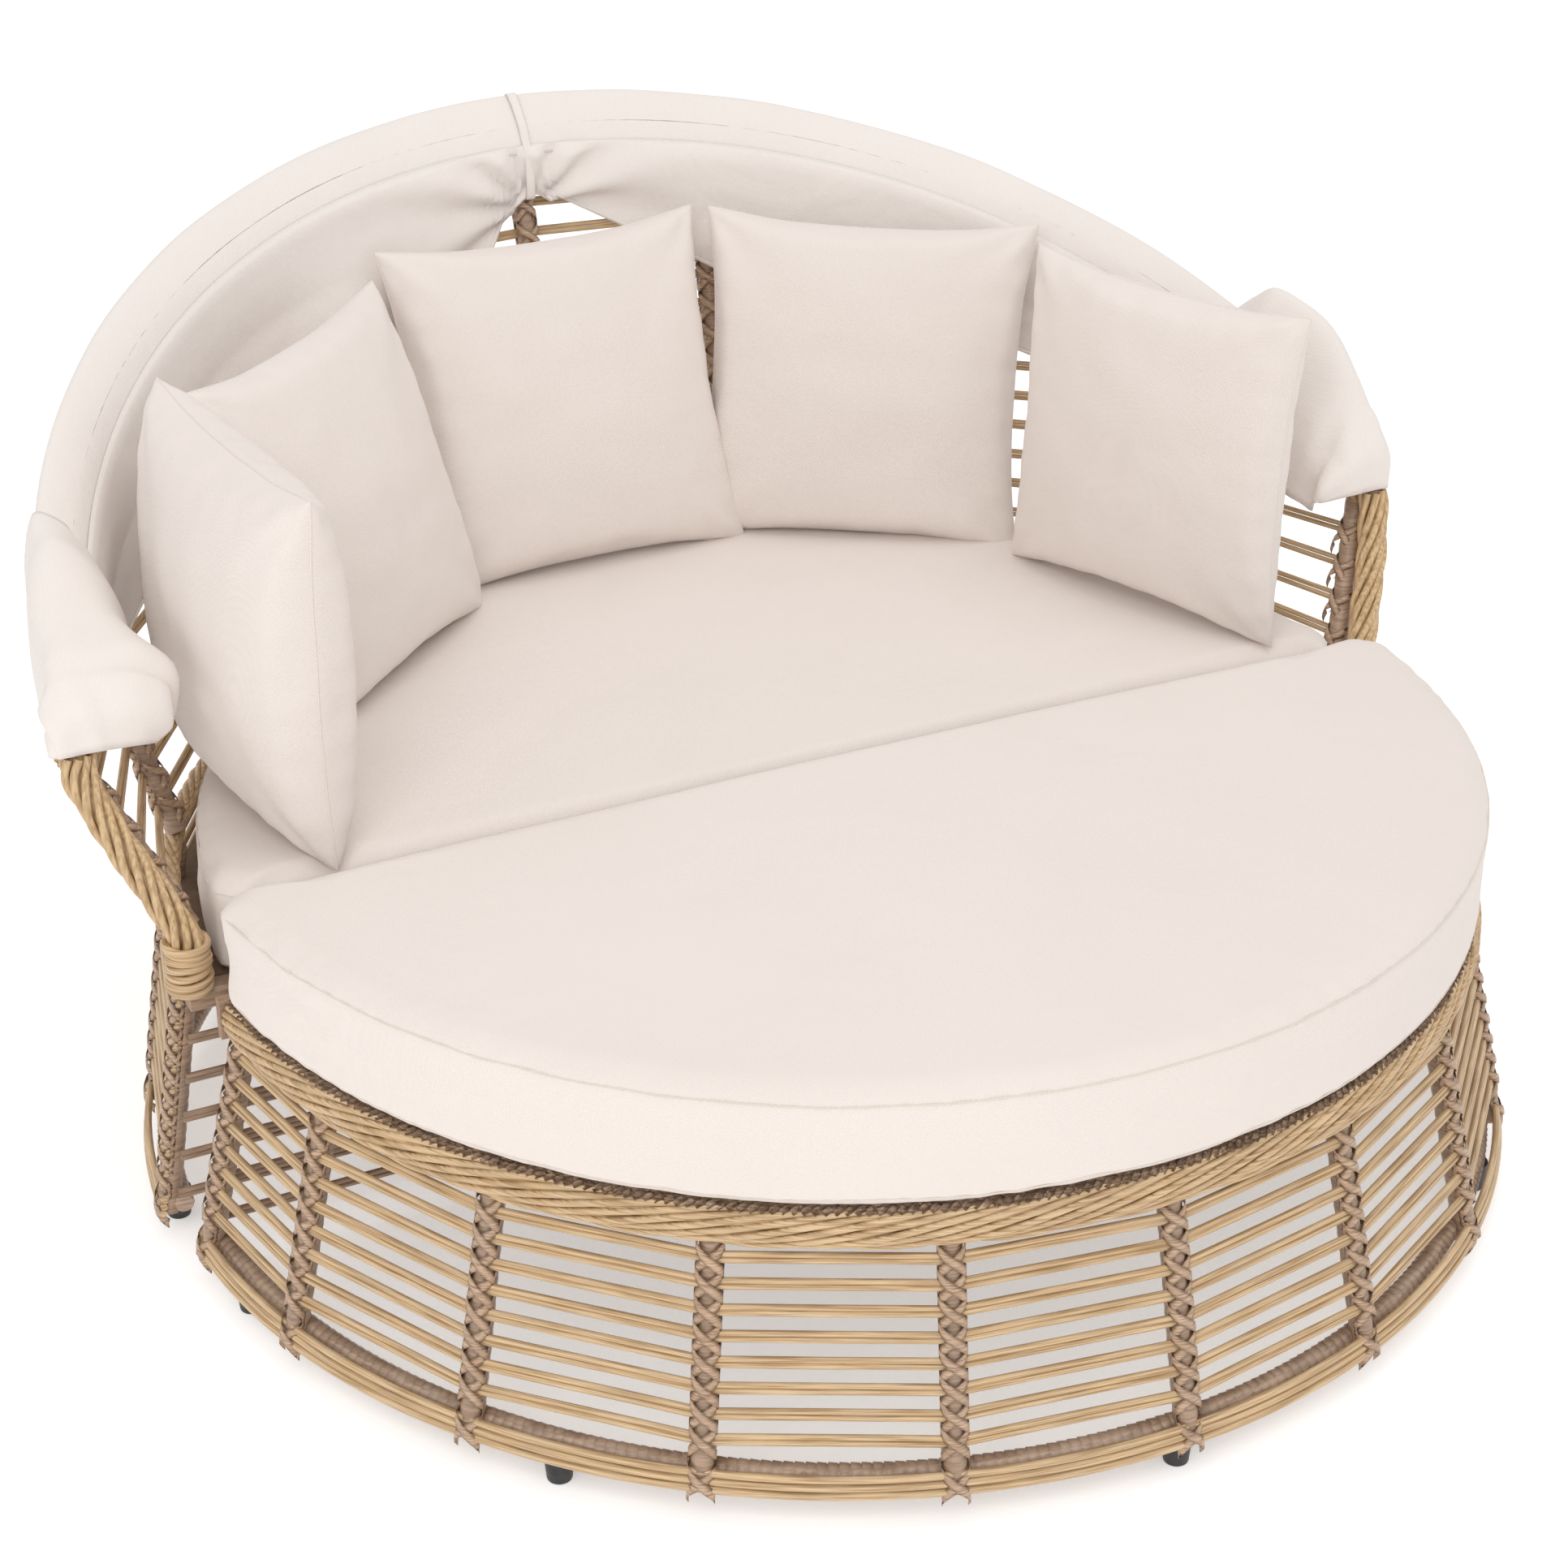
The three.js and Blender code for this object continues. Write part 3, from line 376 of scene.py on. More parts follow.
class Nodes:
    """Adds and links nodes in one tree."""

    def __init__(self, tree: bpy.types.NodeTree) -> None:
        """Keeps the tree."""
        self.tree = tree

    def add(self, kind: str, **settings: object) -> bpy.types.Node:
        """Adds a node.

        Args:
            kind: the node's type.
            settings: its properties, or its input sockets by in_0, in_1 and so on.

        Returns:
            The node.
        """
        node = self.tree.nodes.new(kind)
        for key, value in settings.items():
            if key.startswith("in_"):
                self.feed(value, node.inputs[int(key[3:])])
            else:
                setattr(node, key, value)
        return node

    def feed(self, value: object, socket: bpy.types.NodeSocket) -> None:
        """Gives an input its value.

        Args:
            value: an output socket to link, or a plain value.
            socket: the input.
        """
        if isinstance(value, bpy.types.NodeSocket):
            self.tree.links.new(value, socket)
        else:
            socket.default_value = value

    def maths(self, operation: str, first: object, second: object = 0.0) -> bpy.types.NodeSocket:
        """A Math node's output, for sockets or plain numbers."""
        return self.add("ShaderNodeMath", operation=operation, in_0=first, in_1=second).outputs[0]

    def noise(self, vector: bpy.types.NodeSocket, scale: object, **more: float) -> bpy.types.NodeSocket:
        """Adds a noise texture.

        Args:
            vector: its coordinates.
            scale: its scale, a socket or a number.
            more: further inputs by their labels.

        Returns:
            The noise's value.
        """
        node = self.add("ShaderNodeTexNoise")
        for label, value in {"Vector": vector, "Scale": scale, **more}.items():
            self.feed(value, node.inputs[label])
        return node.outputs[0]

    def stretch(self, mask: bpy.types.NodeSocket, low: float, high: float) -> bpy.types.NodeSocket:
        """The part of a mask between low and high, stretched to the full range."""
        return self.add("ShaderNodeMapRange", in_0=mask, in_1=low, in_2=high).outputs[0]

    def mix(self, mask: bpy.types.NodeSocket, low: object, high: object) -> bpy.types.NodeSocket:
        """Mixes two colours.

        Args:
            mask: how much of the second colour shows.
            low: the first colour, a socket or a linear RGB triple.
            high: the second colour, likewise.

        Returns:
            The mixed colour.
        """
        node = self.add("ShaderNodeMix", data_type="RGBA")
        self.feed(mask, node.inputs["Factor"])
        for socket, value in ((node.inputs[6], low), (node.inputs[7], high)):
            self.feed(value if isinstance(value, bpy.types.NodeSocket) else (*value, 1), socket)
        return node.outputs[2]

    def group(self, tree: bpy.types.NodeTree, **values: float) -> bpy.types.bpy_prop_collection:
        """Places a group in a material, fed by Object coordinates.

        Args:
            tree: the group.
            values: its further inputs by their labels.

        Returns:
            Its output sockets.
        """
        node = self.add("ShaderNodeGroup", node_tree=tree)
        self.feed(self.add("ShaderNodeTexCoord").outputs["Object"], node.inputs["Vector"])
        for label, value in values.items():
            self.feed(value, node.inputs[label])
        return node.outputs

    def bump(self, shader: bpy.types.Node, height: bpy.types.NodeSocket, depth: float) -> None:
        """Feeds a height to the shader's normal.

        Args:
            shader: the material's shader.
            height: the height, from 0 to 1.
            depth: how deep a height of 1 is.
        """
        bump = self.add("ShaderNodeBump")
        for label, value in (("Strength", 1), ("Distance", depth), ("Height", height)):
            self.feed(value, bump.inputs[label])
        self.feed(bump.outputs[0], shader.inputs["Normal"])


def new_group(name: str, inputs: dict[str, float], outputs: Sequence[str]) -> tuple:
    """Starts a shader node group that takes a Vector and some numbers.

    Args:
        name: the group's name.
        inputs: each number's label and default.
        outputs: label of each number it puts out.

    Returns:
        The group, its Nodes helper, its given sockets and the sockets it has to feed.
    """
    tree = bpy.data.node_groups.new(name, "ShaderNodeTree")
    tree.interface.new_socket("Vector", in_out="INPUT", socket_type="NodeSocketVector")
    for label, default in inputs.items():
        made = tree.interface.new_socket(label, in_out="INPUT", socket_type="NodeSocketFloat")
        made.default_value = default
    for label in outputs:
        tree.interface.new_socket(label, in_out="OUTPUT", socket_type="NodeSocketFloat")
    nodes = Nodes(tree)
    return tree, nodes, nodes.add("NodeGroupInput").outputs, nodes.add("NodeGroupOutput").inputs


def grain_group() -> bpy.types.NodeTree:
    """Makes fine streaks along a level reed: thin in height and long over the ground.

    Returns:
        The group.
    """
    tree, n, given, out = new_group("reed_grain", {"Fineness": 900, "Length": 14}, ("Streaks", "Mottle"))
    scale = n.add("ShaderNodeCombineXYZ", in_0=given["Length"], in_1=given["Length"], in_2=given["Fineness"])
    scaled = n.add("ShaderNodeVectorMath", operation="MULTIPLY", in_0=given["Vector"], in_1=scale.outputs[0])
    n.feed(n.noise(scaled.outputs[0], 1), out["Streaks"])
    n.feed(n.noise(given["Vector"], 34, Detail=3), out["Mottle"])
    return tree


def weave_group() -> bpy.types.NodeTree:
    """Makes the plain weave and soft creases of a woven cover.

    Returns:
        The group.
    """
    outputs = ("Weave", "Crease", "Tone")
    tree, n, given, out = new_group("cover_weave", {"Threads": 700, "Creases": 5}, outputs)
    parts = n.add("ShaderNodeSeparateXYZ", in_0=given["Vector"]).outputs
    waves = []
    for first, second in ((0, 1), (2, 0)):
        mixed = n.maths("ADD", parts[first], n.maths("MULTIPLY", parts[second], 0.35))
        waves.append(n.maths("SINE", n.maths("MULTIPLY", mixed, given["Threads"])))
    n.feed(n.maths("MULTIPLY", *waves), out["Weave"])
    crease = n.noise(given["Vector"], given["Creases"], Detail=3, Roughness=0.45, Distortion=0.6)
    n.feed(crease, out["Crease"])
    n.feed(n.noise(given["Vector"], 2.3), out["Tone"])
    return tree


def wear_group() -> bpy.types.NodeTree:
    """Makes dust and handling marks as one soft mask.

    Returns:
        The group.
    """
    tree, n, given, out = new_group("light_wear", {"Size": 18}, ("Mask",))
    n.feed(n.stretch(n.noise(given["Vector"], given["Size"], Detail=5), 0.42, 0.74), out["Mask"])
    return tree


def fresh_material(name: str) -> tuple[bpy.types.Material, Nodes, bpy.types.Node]:
    """Starts a material.

    Args:
        name: its name.

    Returns:
        The material, its Nodes helper and its shader.
    """
    material = bpy.data.materials.new(name)
    material.use_nodes = True
    return material, Nodes(material.node_tree), material.node_tree.nodes["Principled BSDF"]


@dataclass(frozen=True)
class ReedFinish:
    """Streaked plastic reed or flat strip."""

    name: str
    light: tuple[float, float, float]
    dark: tuple[float, float, float]
    roughness: float = 0.42
    fineness: float = 900
    length: float = 14
    depth: float = 0.0004
    dust: float = 0.45
    wear_share: float = 0.22

    def build(self, grain: bpy.types.NodeTree, wear: bpy.types.NodeTree) -> bpy.types.Material:
        """Makes the material.

        Args:
            grain: the shared streak group.
            wear: the shared wear group.

        Returns:
            The finished material.
        """
        material, n, shader = fresh_material(self.name)
        streaks = n.group(grain, Fineness=self.fineness, Length=self.length)
        marks = n.group(wear, Size=22)["Mask"]
        base = n.mix(n.stretch(streaks["Streaks"], 0.36, 0.62), self.dark, self.light)
        middle = tuple((a + b) / 2 for a, b in zip(self.light, self.dark))
        mottle = n.maths("MULTIPLY", n.stretch(streaks["Mottle"], 0.5, 0.8), 0.5)
        dusty = tuple(lerp(c, self.dust, 0.4) for c in self.light)
        worn = n.mix(n.maths("MULTIPLY", marks, self.wear_share), n.mix(mottle, base, middle), dusty)
        n.feed(worn, shader.inputs["Base Color"])
        n.feed(n.maths("ADD", n.maths("MULTIPLY", marks, 0.18), self.roughness), shader.inputs["Roughness"])
        shader.inputs["Specular IOR Level"].default_value = 0.45
        n.bump(shader, streaks["Streaks"], self.depth)
        return material


@dataclass(frozen=True)
class ClothFinish:
    """Woven cover cloth with faint creases."""

    name: str
    colour: tuple[float, float, float]
    shade: tuple[float, float, float]
    creases: float = 5
    crease_depth: float = 0.006
    threads: float = 2600
    thread_depth: float = 0.00012

    def build(self, weave: bpy.types.NodeTree, wear: bpy.types.NodeTree) -> bpy.types.Material:
        """Makes the material.

        Args:
            weave: the shared weave group.
            wear: the shared wear group.

        Returns:
            The finished material.
        """
        material, n, shader = fresh_material(self.name)
        cloth = n.group(weave, Threads=self.threads, Creases=self.creases)
        colour = self.colour
        masks = ((cloth["Tone"], 0.5), (n.stretch(cloth["Weave"], -1, 1), 0.12),
                 (n.group(wear, Size=9)["Mask"], 0.1))
        for mask, share in masks:
            colour = n.mix(n.maths("MULTIPLY", mask, share), colour, self.shade)
        n.feed(colour, shader.inputs["Base Color"])
        for label, value in (("Roughness", 0.85), ("Specular IOR Level", 0.25), ("Sheen Weight", 0.15),
                             ("Sheen Roughness", 0.6)):
            shader.inputs[label].default_value = value
        fine = n.maths("MULTIPLY", cloth["Weave"], self.thread_depth / self.crease_depth)
        n.bump(shader, n.maths("ADD", fine, cloth["Crease"]), self.crease_depth)
        return material


@dataclass(frozen=True)
class HardFinish:
    """Painted metal, moulded plastic or board."""

    name: str
    colour: tuple[float, float, float]
    worn: tuple[float, float, float]
    roughness: float
    metallic: float = 0
    depth: float = 0.0002

    def build(self, wear: bpy.types.NodeTree) -> bpy.types.Material:
        """Makes the material.

        Args:
            wear: the shared wear group.

        Returns:
            The finished material.
        """
        material, n, shader = fresh_material(self.name)
        marks = n.group(wear, Size=60)["Mask"]
        n.feed(n.mix(marks, self.colour, self.worn), shader.inputs["Base Color"])
        n.feed(n.maths("ADD", n.maths("MULTIPLY", marks, 0.2), self.roughness), shader.inputs["Roughness"])
        shader.inputs["Metallic"].default_value = self.metallic
        n.bump(shader, marks, self.depth)
        return material


class Finishes:
    """Every material of the daybed, built once."""

    def __init__(self) -> None:
        """Builds the shared groups and each finish."""
        grain, weave, wear = grain_group(), weave_group(), wear_group()
        self.honey = ReedFinish("honey_reed", (0.70, 0.51, 0.30), (0.38, 0.235, 0.11)).build(grain, wear)
        self.upright = ReedFinish("upright_reed", (0.66, 0.47, 0.26), (0.42, 0.265, 0.125),
                                  fineness=40, length=260).build(grain, wear)
        self.strip = ReedFinish("tan_strip", (0.62, 0.43, 0.29), (0.25, 0.15, 0.09), 0.36,
                                fineness=1300, length=60, depth=0.0003).build(grain, wear)
        self.wrap = ReedFinish("brown_wrap", (0.44, 0.30, 0.205), (0.27, 0.175, 0.115), 0.32,
                               fineness=420, length=30, depth=0.0006).build(grain, wear)
        # The ring's finish is the brown wrap made lighter: painted light against the shade the ring renders
        # in, while the posts keep the darker wrap of the same strip.
        self.ring = ReedFinish("taupe_wound_painted_light", (0.56, 0.41, 0.30), (0.36, 0.245, 0.17), 0.28,
                               fineness=420, length=30, depth=0.0006).build(grain, wear)
        self.cover = ClothFinish("cream_cover", (0.81, 0.74, 0.695), (0.73, 0.655, 0.605)).build(weave, wear)
        self.canopy = ClothFinish("cream_canopy", (0.83, 0.775, 0.735), (0.755, 0.69, 0.645),
                                  creases=7, crease_depth=0.008).build(weave, wear)
        self.seam = ClothFinish("seam_thread", (0.76, 0.68, 0.61), (0.64, 0.56, 0.49),
                                creases=60, crease_depth=0.0005).build(weave, wear)
        self.steel = HardFinish("coated_steel", (0.36, 0.35, 0.34), (0.5, 0.48, 0.46), 0.42, 0.6).build(wear)
        self.plastic = HardFinish("black_foot", (0.012, 0.012, 0.013), (0.05, 0.05, 0.05), 0.45).build(wear)
        self.board = HardFinish("deck_board", (0.22, 0.15, 0.1), (0.28, 0.2, 0.14), 0.7,
                                depth=0.0008).build(wear)


def dress(piece: bpy.types.Object, material: bpy.types.Material, body: Body,
          replaced: Sequence[str] = ()) -> None:
    """Gives a new piece its finish, body and the CAD nodes it stands for.

    Args:
        piece: the finished object.
        material: its material.
        body: the body it rides on.
        replaced: the CAD nodes it replaces.
    """
    piece.data.materials.clear()
    piece.data.materials.append(material)
    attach(piece, body.value)
    if replaced:
        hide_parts(*replaced)
    LOG.info("piece %s on %s, %d faces", piece.name, body.value, len(piece.data.polygons))


# Woven work


@dataclass(frozen=True)
class LeaningWall:
    """A half-round wall that leans from its base to its top."""

    base: float
    top: float
    top_z: float
    centre_y: float

    def __call__(self, angle: float, z: float, out: float) -> Vector:
        """Point on the outer face, moved out by some metres."""
        radius = lerp(self.base, self.top, (z - BASE_Z) / (self.top_z - BASE_Z))
        return polar(radius + out, angle, self.centre_y, z)


@dataclass(frozen=True)
class FlaredBack:
    """The back wall: it runs from the waist circle up to the tilted rim."""

    foot: float = 0.787
    head: float = 0.869
    bottom: float = 0.4053
    below_rim: float = 0.0383

    def top_z(self, angle: float) -> float:
        """Height at which the wall meets the rim."""
        return rim_plane(polar(self.head, angle, RIM_CENTRE_Y, 0).y) - self.below_rim

    def __call__(self, angle: float, z: float, out: float) -> Vector:
        """Finds a point near the wall.

        Args:
            angle: its angle.
            z: its height.
            out: how far outside the outer face it lies.

        Returns:
            The point.
        """
        foot = polar(self.foot + out, angle, 0, z)
        head = polar(self.head + out, angle, RIM_CENTRE_Y, z)
        return foot.lerp(head, (z - self.bottom) / (self.top_z(angle) - self.bottom))


@dataclass(frozen=True)
class FlatWall:
    """A flat wall across a half disc; its angle is a share of the half width, in hundredths."""

    base: float
    top: float
    top_z: float
    y: float
    facing: float

    def __call__(self, angle: float, z: float, out: float) -> Vector:
        """Point on the wall's face, moved out by some metres."""
        half = lerp(self.base, self.top, (z - BASE_Z) / (self.top_z - BASE_Z))
        return Vector((half * angle / 100, SHIFT_Y + self.y + self.facing * out, z))


@dataclass(frozen=True)
class Weaver:
    """Weaves one wall: paired reeds, bound posts and the ties that cross on them."""

    finishes: Finishes
    name: str
    body: Body
    wall: Place
    top: Height
    reed_radius: float = 0.0034
    reed_depth: float = 0.0036
    pair_height: float = 0.013
    reed_shares: tuple[float, float] = (0.26, 0.74)
    reed_room: float = 0.012
    sag: float = 0.0006
    post_radius: float = 0.013
    post_depth: float = 0.0125
    post_turn: float = 0.0075
    post_swell: float = 1.045
    tie_width: float = 0.0112
    tie_thickness: float = 0.0016
    tie_rise: float = 0.0215
    tie_turn: float = math.radians(118)
    tie_bend: tuple[float, float] = (0.0150, 0.0102)
    tie_middle: float = 0.0066
    tie_crown: float = 0.0008
    tie_room: float = 0.01
    inner_tie_depth: float = 0.0255

    def reeds(self, stops: Sequence[float], rows: Sequence[float], material: bpy.types.Material,
              nodes: Sequence[str]) -> None:
        """Makes the paired reeds that run from post to post, where the wall is high enough.

        Args:
            stops: angle of each post and of both ends, in order.
            rows: height of each pair's underside.
            material: the reeds' material.
            nodes: the CAD nodes they replace.
        """
        runs = []
        for row in rows:
            for share in self.reed_shares:
                z = row + self.pair_height * share
                run: list[Vector] = []
                for a, b in zip(stops, stops[1:]):
                    if z + self.reed_room > min(self.top(a), self.top(b)):
                        runs.append(run)
                        run = []
                        continue
                    start, end = self.wall(a, z, -self.reed_depth), self.wall(b, z, -self.reed_depth)
                    middle = (start + end) / 2 + UP * (self.sag * math.sin(row * 900 + a * 3.1 + share))
                    run = (run or [start]) + [start.lerp(middle, 0.5), middle, middle.lerp(end, 0.5), end]
                runs.append(run)
        piece = strands(self.name + "_reeds", [Line(run) for run in runs if run], self.reed_radius)
        dress(piece, material, self.body, nodes)

    def posts(self, angles: Sequence[float], low: float, top: Height) -> None:
        """Makes posts wound with flat brown strip, a little thicker at every second turn.

        Args:
            angles: angle of each post.
            low: height of the posts' feet.
            top: height of a post's head at an angle.
        """
        lines = []
        for angle in angles:
            turns = max(4, round((top(angle) - low) / self.post_turn))
            points = [self.wall(angle, z, -self.post_depth) for z in spread(low, top(angle), turns)]
            lines.append(Line(points, [1.0 if i % 2 else self.post_swell for i in range(turns)]))
        piece = strands(self.name + "_posts", lines, self.post_radius, 3)
        dress(piece, self.finishes.wrap, self.body)

    def strip_point(self, sign: int, lift: float, u: float, v: float) -> Vector:
        """Bends a flat strip round the front of a post.

        Args:
            sign: 1 for the strip that rises to the right and -1 for the other.
            lift: how far it stands off in the middle.
            u: share along it.
            v: share across it.

        Returns:
            The point: X right, -Y out of the wall, Z up.
        """
        turn = self.tie_turn * (2 * u - 1)
        wide, deep = self.tie_bend
        crown = self.tie_crown * (1 - (2 * v - 1) ** 2) + lift * math.cos(turn / 1.4)
        z = sign * self.tie_rise * (2 * u - 1) + (v - 0.5) * self.tie_width
        return Vector((wide * math.sin(turn), self.tie_middle - deep * math.cos(turn) - crown, z))

    def ties(self, angles: Sequence[float], rows: Sequence[float], inner_too: bool = False) -> None:
        """Makes the crossed strips that bind every pair of reeds to every post.

        Args:
            angles: angle of each post.
            rows: height of each pair's underside.
            inner_too: whether the posts' inner sides have crossings too.
        """
        strips = [sheet_bmesh(8, 2, partial(self.strip_point, sign, lift))
                  for sign, lift in ((1, 0.0), (-1, self.tie_thickness))]
        for strip in strips:
            thicken(strip, self.tie_thickness)
        places = []
        for angle in angles:
            for row in rows:
                z = row + self.pair_height / 2
                if z + self.tie_room > self.top(angle):
                    continue
                here = self.wall(angle, z, 0)
                front = (self.wall(angle + 0.4, z, 0) - here).cross(self.wall(angle, z + 0.01, 0) - here)
                if front.dot(self.wall(angle, z, 1) - here) < 0:
                    front.negate()
                right = UP.cross(front)
                places.append(frame_at(here, right, front))
                if inner_too:
                    places.append(frame_at(self.wall(angle, z, -self.inner_tie_depth), -right, -front))
        piece = join_copies(self.name + "_ties", mesh_data("tie_template", merged(strips)), places)
        dress(piece, self.finishes.strip, self.body)


@dataclass(frozen=True)
class Rope:
    """Strands laid round a long oval core."""

    strand: float
    wide: float
    tall: float
    count: int
    pitch: float
    looseness: float = 0.09

    def lines(self, path: Sequence[Vector], sides: Sequence[Vector], up: Vector) -> list[Line]:
        """Lays the strands along a path.

        Args:
            path: the core's middle line.
            sides: the sideways unit vector at each of its points.
            up: the core's upright unit vector.

        Returns:
            One line for each strand, and two for the core.
        """
        runs = [0.0]
        for a, b in zip(path, path[1:]):
            runs.append(runs[-1] + (b - a).length)
        made = []
        for i in range(self.count):
            points = []
            for at, side, run in zip(path, sides, runs):
                turn = 2 * math.pi * (run / self.pitch + i / self.count)
                loose = 1 + self.looseness * math.sin(2 * turn + 2.1 * i)
                points.append(at + side * (self.wide * math.cos(turn) * loose)
                              + up * (self.tall * math.sin(turn) * loose))
            made.append(Line(points))
        thick = min(self.wide, self.tall)
        for share in (-0.8, 0.8):
            middle = [at + up * (share * (self.tall - thick)) for at in path]
            made.append(Line(middle, [(thick - 0.3 * self.strand) / self.strand] * len(path)))
        return made

    def on_arc(self, name: str, radius: float, centre_y: float, angles: Sequence[float],
               height: Height) -> bpy.types.Object:
        """Lays the rope along an arc.

        Args:
            name: the piece's name.
            radius: the arc's radius.
            centre_y: the arc's centre.
            angles: angle of each point of the path.
            height: the core's height at a packed-frame Y.

        Returns:
            The piece.
        """
        flat = [polar(radius, angle, centre_y, 0) for angle in angles]
        path = [Vector((at.x, at.y, height(at.y))) for at in flat]
        return strands(name, self.lines(path, [outward(angle) for angle in angles], UP), self.strand)


@dataclass
class Half:
    """What both halves have below their cushion: leaning wall, base ring, flat wall and feet."""

    finishes: Finishes
    body: Body
    wall: LeaningWall
    first: float
    last: float
    reed_gap: float
    row_count: int
    ring_radius: float
    flat: FlatWall
    flat_side: str
    flat_post_top: float
    feet: tuple[float, ...]
    end_bay: float = 0.0
    bays: int = 10
    first_row: float = 0.089
    row_pitch: float = 0.0275
    base_tie: float = 0.0445
    base_rows: tuple[float, ...] = (0.0425, 0.0512, 0.0599)
    base_reed: float = 0.0043
    base_depth: float = 0.0035
    ring_tube: float = 0.0118
    ring_turn: float = 0.0115
    rope_gap: float = 0.2
    post_head: float = 0.003
    foot_sole: float = 0.0135
    foot_top: float = 0.0168
    foot_height: float = 0.0377
    foot_edge: float = 0.002
    flat_posts: tuple[float, ...] = (-98, -33, 33, 98)
    flat_rows: tuple[float, ...] = (0.064, 0.114, 0.164, 0.214, 0.264)

    def post_angles(self) -> list[float]:
        """Places the posts.

        Returns:
            Angle of each post's middle; all bays are alike unless end_bay says how wide the end ones are.
        """
        half = math.degrees(POST_SPAN / self.wall.base) / 2
        first, last = self.first + half, self.last - half
        end_bay = self.end_bay or (last - first) / self.bays
        return [first, *spread(first + end_bay, last - end_bay, self.bays - 1), last]

    def reed_stops(self) -> list[float]:
        """Angle of each place where reeds start or end."""
        return [self.first + self.reed_gap, *self.post_angles()[1:-1], self.last - self.reed_gap]

    def rope_angles(self, count: int) -> list[float]:
        """Angle of each point of a rope round the half disc."""
        return spread(self.first + self.rope_gap, self.last - self.rope_gap, count)

    def over_wall(self, _angle: float) -> float:
        """A height above the highest row, so that no row stops short."""
        return self.wall.top_z + 0.02

    def wound_ring(self) -> bpy.types.Object:
        """Makes the base ring, wound with flat strip so that each turn overlaps the one before.

        Returns:
            The piece.
        """
        turns = round(math.radians(self.last - self.first) * self.ring_radius / self.ring_turn)
        points, swell = [], []
        for i in range(turns):
            for share, size in ((0.02, 1.07), (0.80, 1.0), (0.92, 0.90)):
                angle = lerp(self.first, self.last, (i + share) / turns)
                points.append(polar(self.ring_radius, angle, self.wall.centre_y, BASE_Z))
                swell.append(size)
        return strands(f"{self.body.value}_wound_ring", [Line(points, swell)], self.ring_tube, 3)

    def build_wall(self) -> None:
        """Builds the leaning wall with its posts and ties, and the reeds and ring at its foot."""
        f, name = self.finishes, self.body.value
        weaver = Weaver(f, name, self.body, self.wall, self.over_wall)
        rows = [self.first_row + self.row_pitch * j for j in range(self.row_count)]
        weaver.reeds(self.reed_stops(), rows, f.honey, [f"{name}_wall_{i}" for i in range(1, 6)])
        weaver.posts(self.post_angles(), POST_FOOT, lambda a: self.wall.top_z + self.post_head)
        weaver.ties(self.post_angles(), [self.base_tie, *rows])
        base = [Line([self.wall(a, z, -self.base_depth) for a in spread(self.first, self.last, 90)])
                for z in self.base_rows]
        dress(strands(f"{name}_base_reeds", base, self.base_reed), f.honey, self.body)
        # The ring takes the lightened wrap finish, which carries painted light.
        dress(self.wound_ring(), f.ring, self.body, [f"{name}_base_ring"])

    def build_flat(self) -> None:
        """Builds the flat wall on the straight side."""
        name = f"{self.body.value}_{self.flat_side}"
        weaver = Weaver(self.finishes, name, self.body, self.flat, self.over_wall)
        weaver.reeds(self.flat_posts, self.flat_rows, self.finishes.wrap, [f"{name}_wall"])
        weaver.posts(self.flat_posts[1:-1], POST_FOOT, lambda a: self.flat_post_top)

    def build_feet(self) -> None:
        """Builds the tapered moulded feet with rounded edges under the base ring."""
        for i, angle in enumerate(self.feet, 1):
            middle = polar(self.ring_radius, angle, self.wall.centre_y, self.foot_height / 2)
            bm = bmesh.new()
            bmesh.ops.create_cone(bm, cap_ends=True, segments=24, radius1=self.foot_sole,
                                  radius2=self.foot_top, depth=self.foot_height,
                                  matrix=Matrix.Translation(middle))
            edges = [e for e in bm.edges if abs(e.verts[0].co.z - e.verts[1].co.z) < 1e-5]
            bmesh.ops.bevel(bm, geom=edges, offset=self.foot_edge, offset_type="OFFSET", segments=3,
                            profile=0.5, affect="EDGES", material=-1)
            name = f"{self.body.value}_glide_{i}"
            dress(link_object(name, mesh_data(name, bm)), self.finishes.plastic, self.body,
                  [f"{self.body.value}_foot_{i}"])


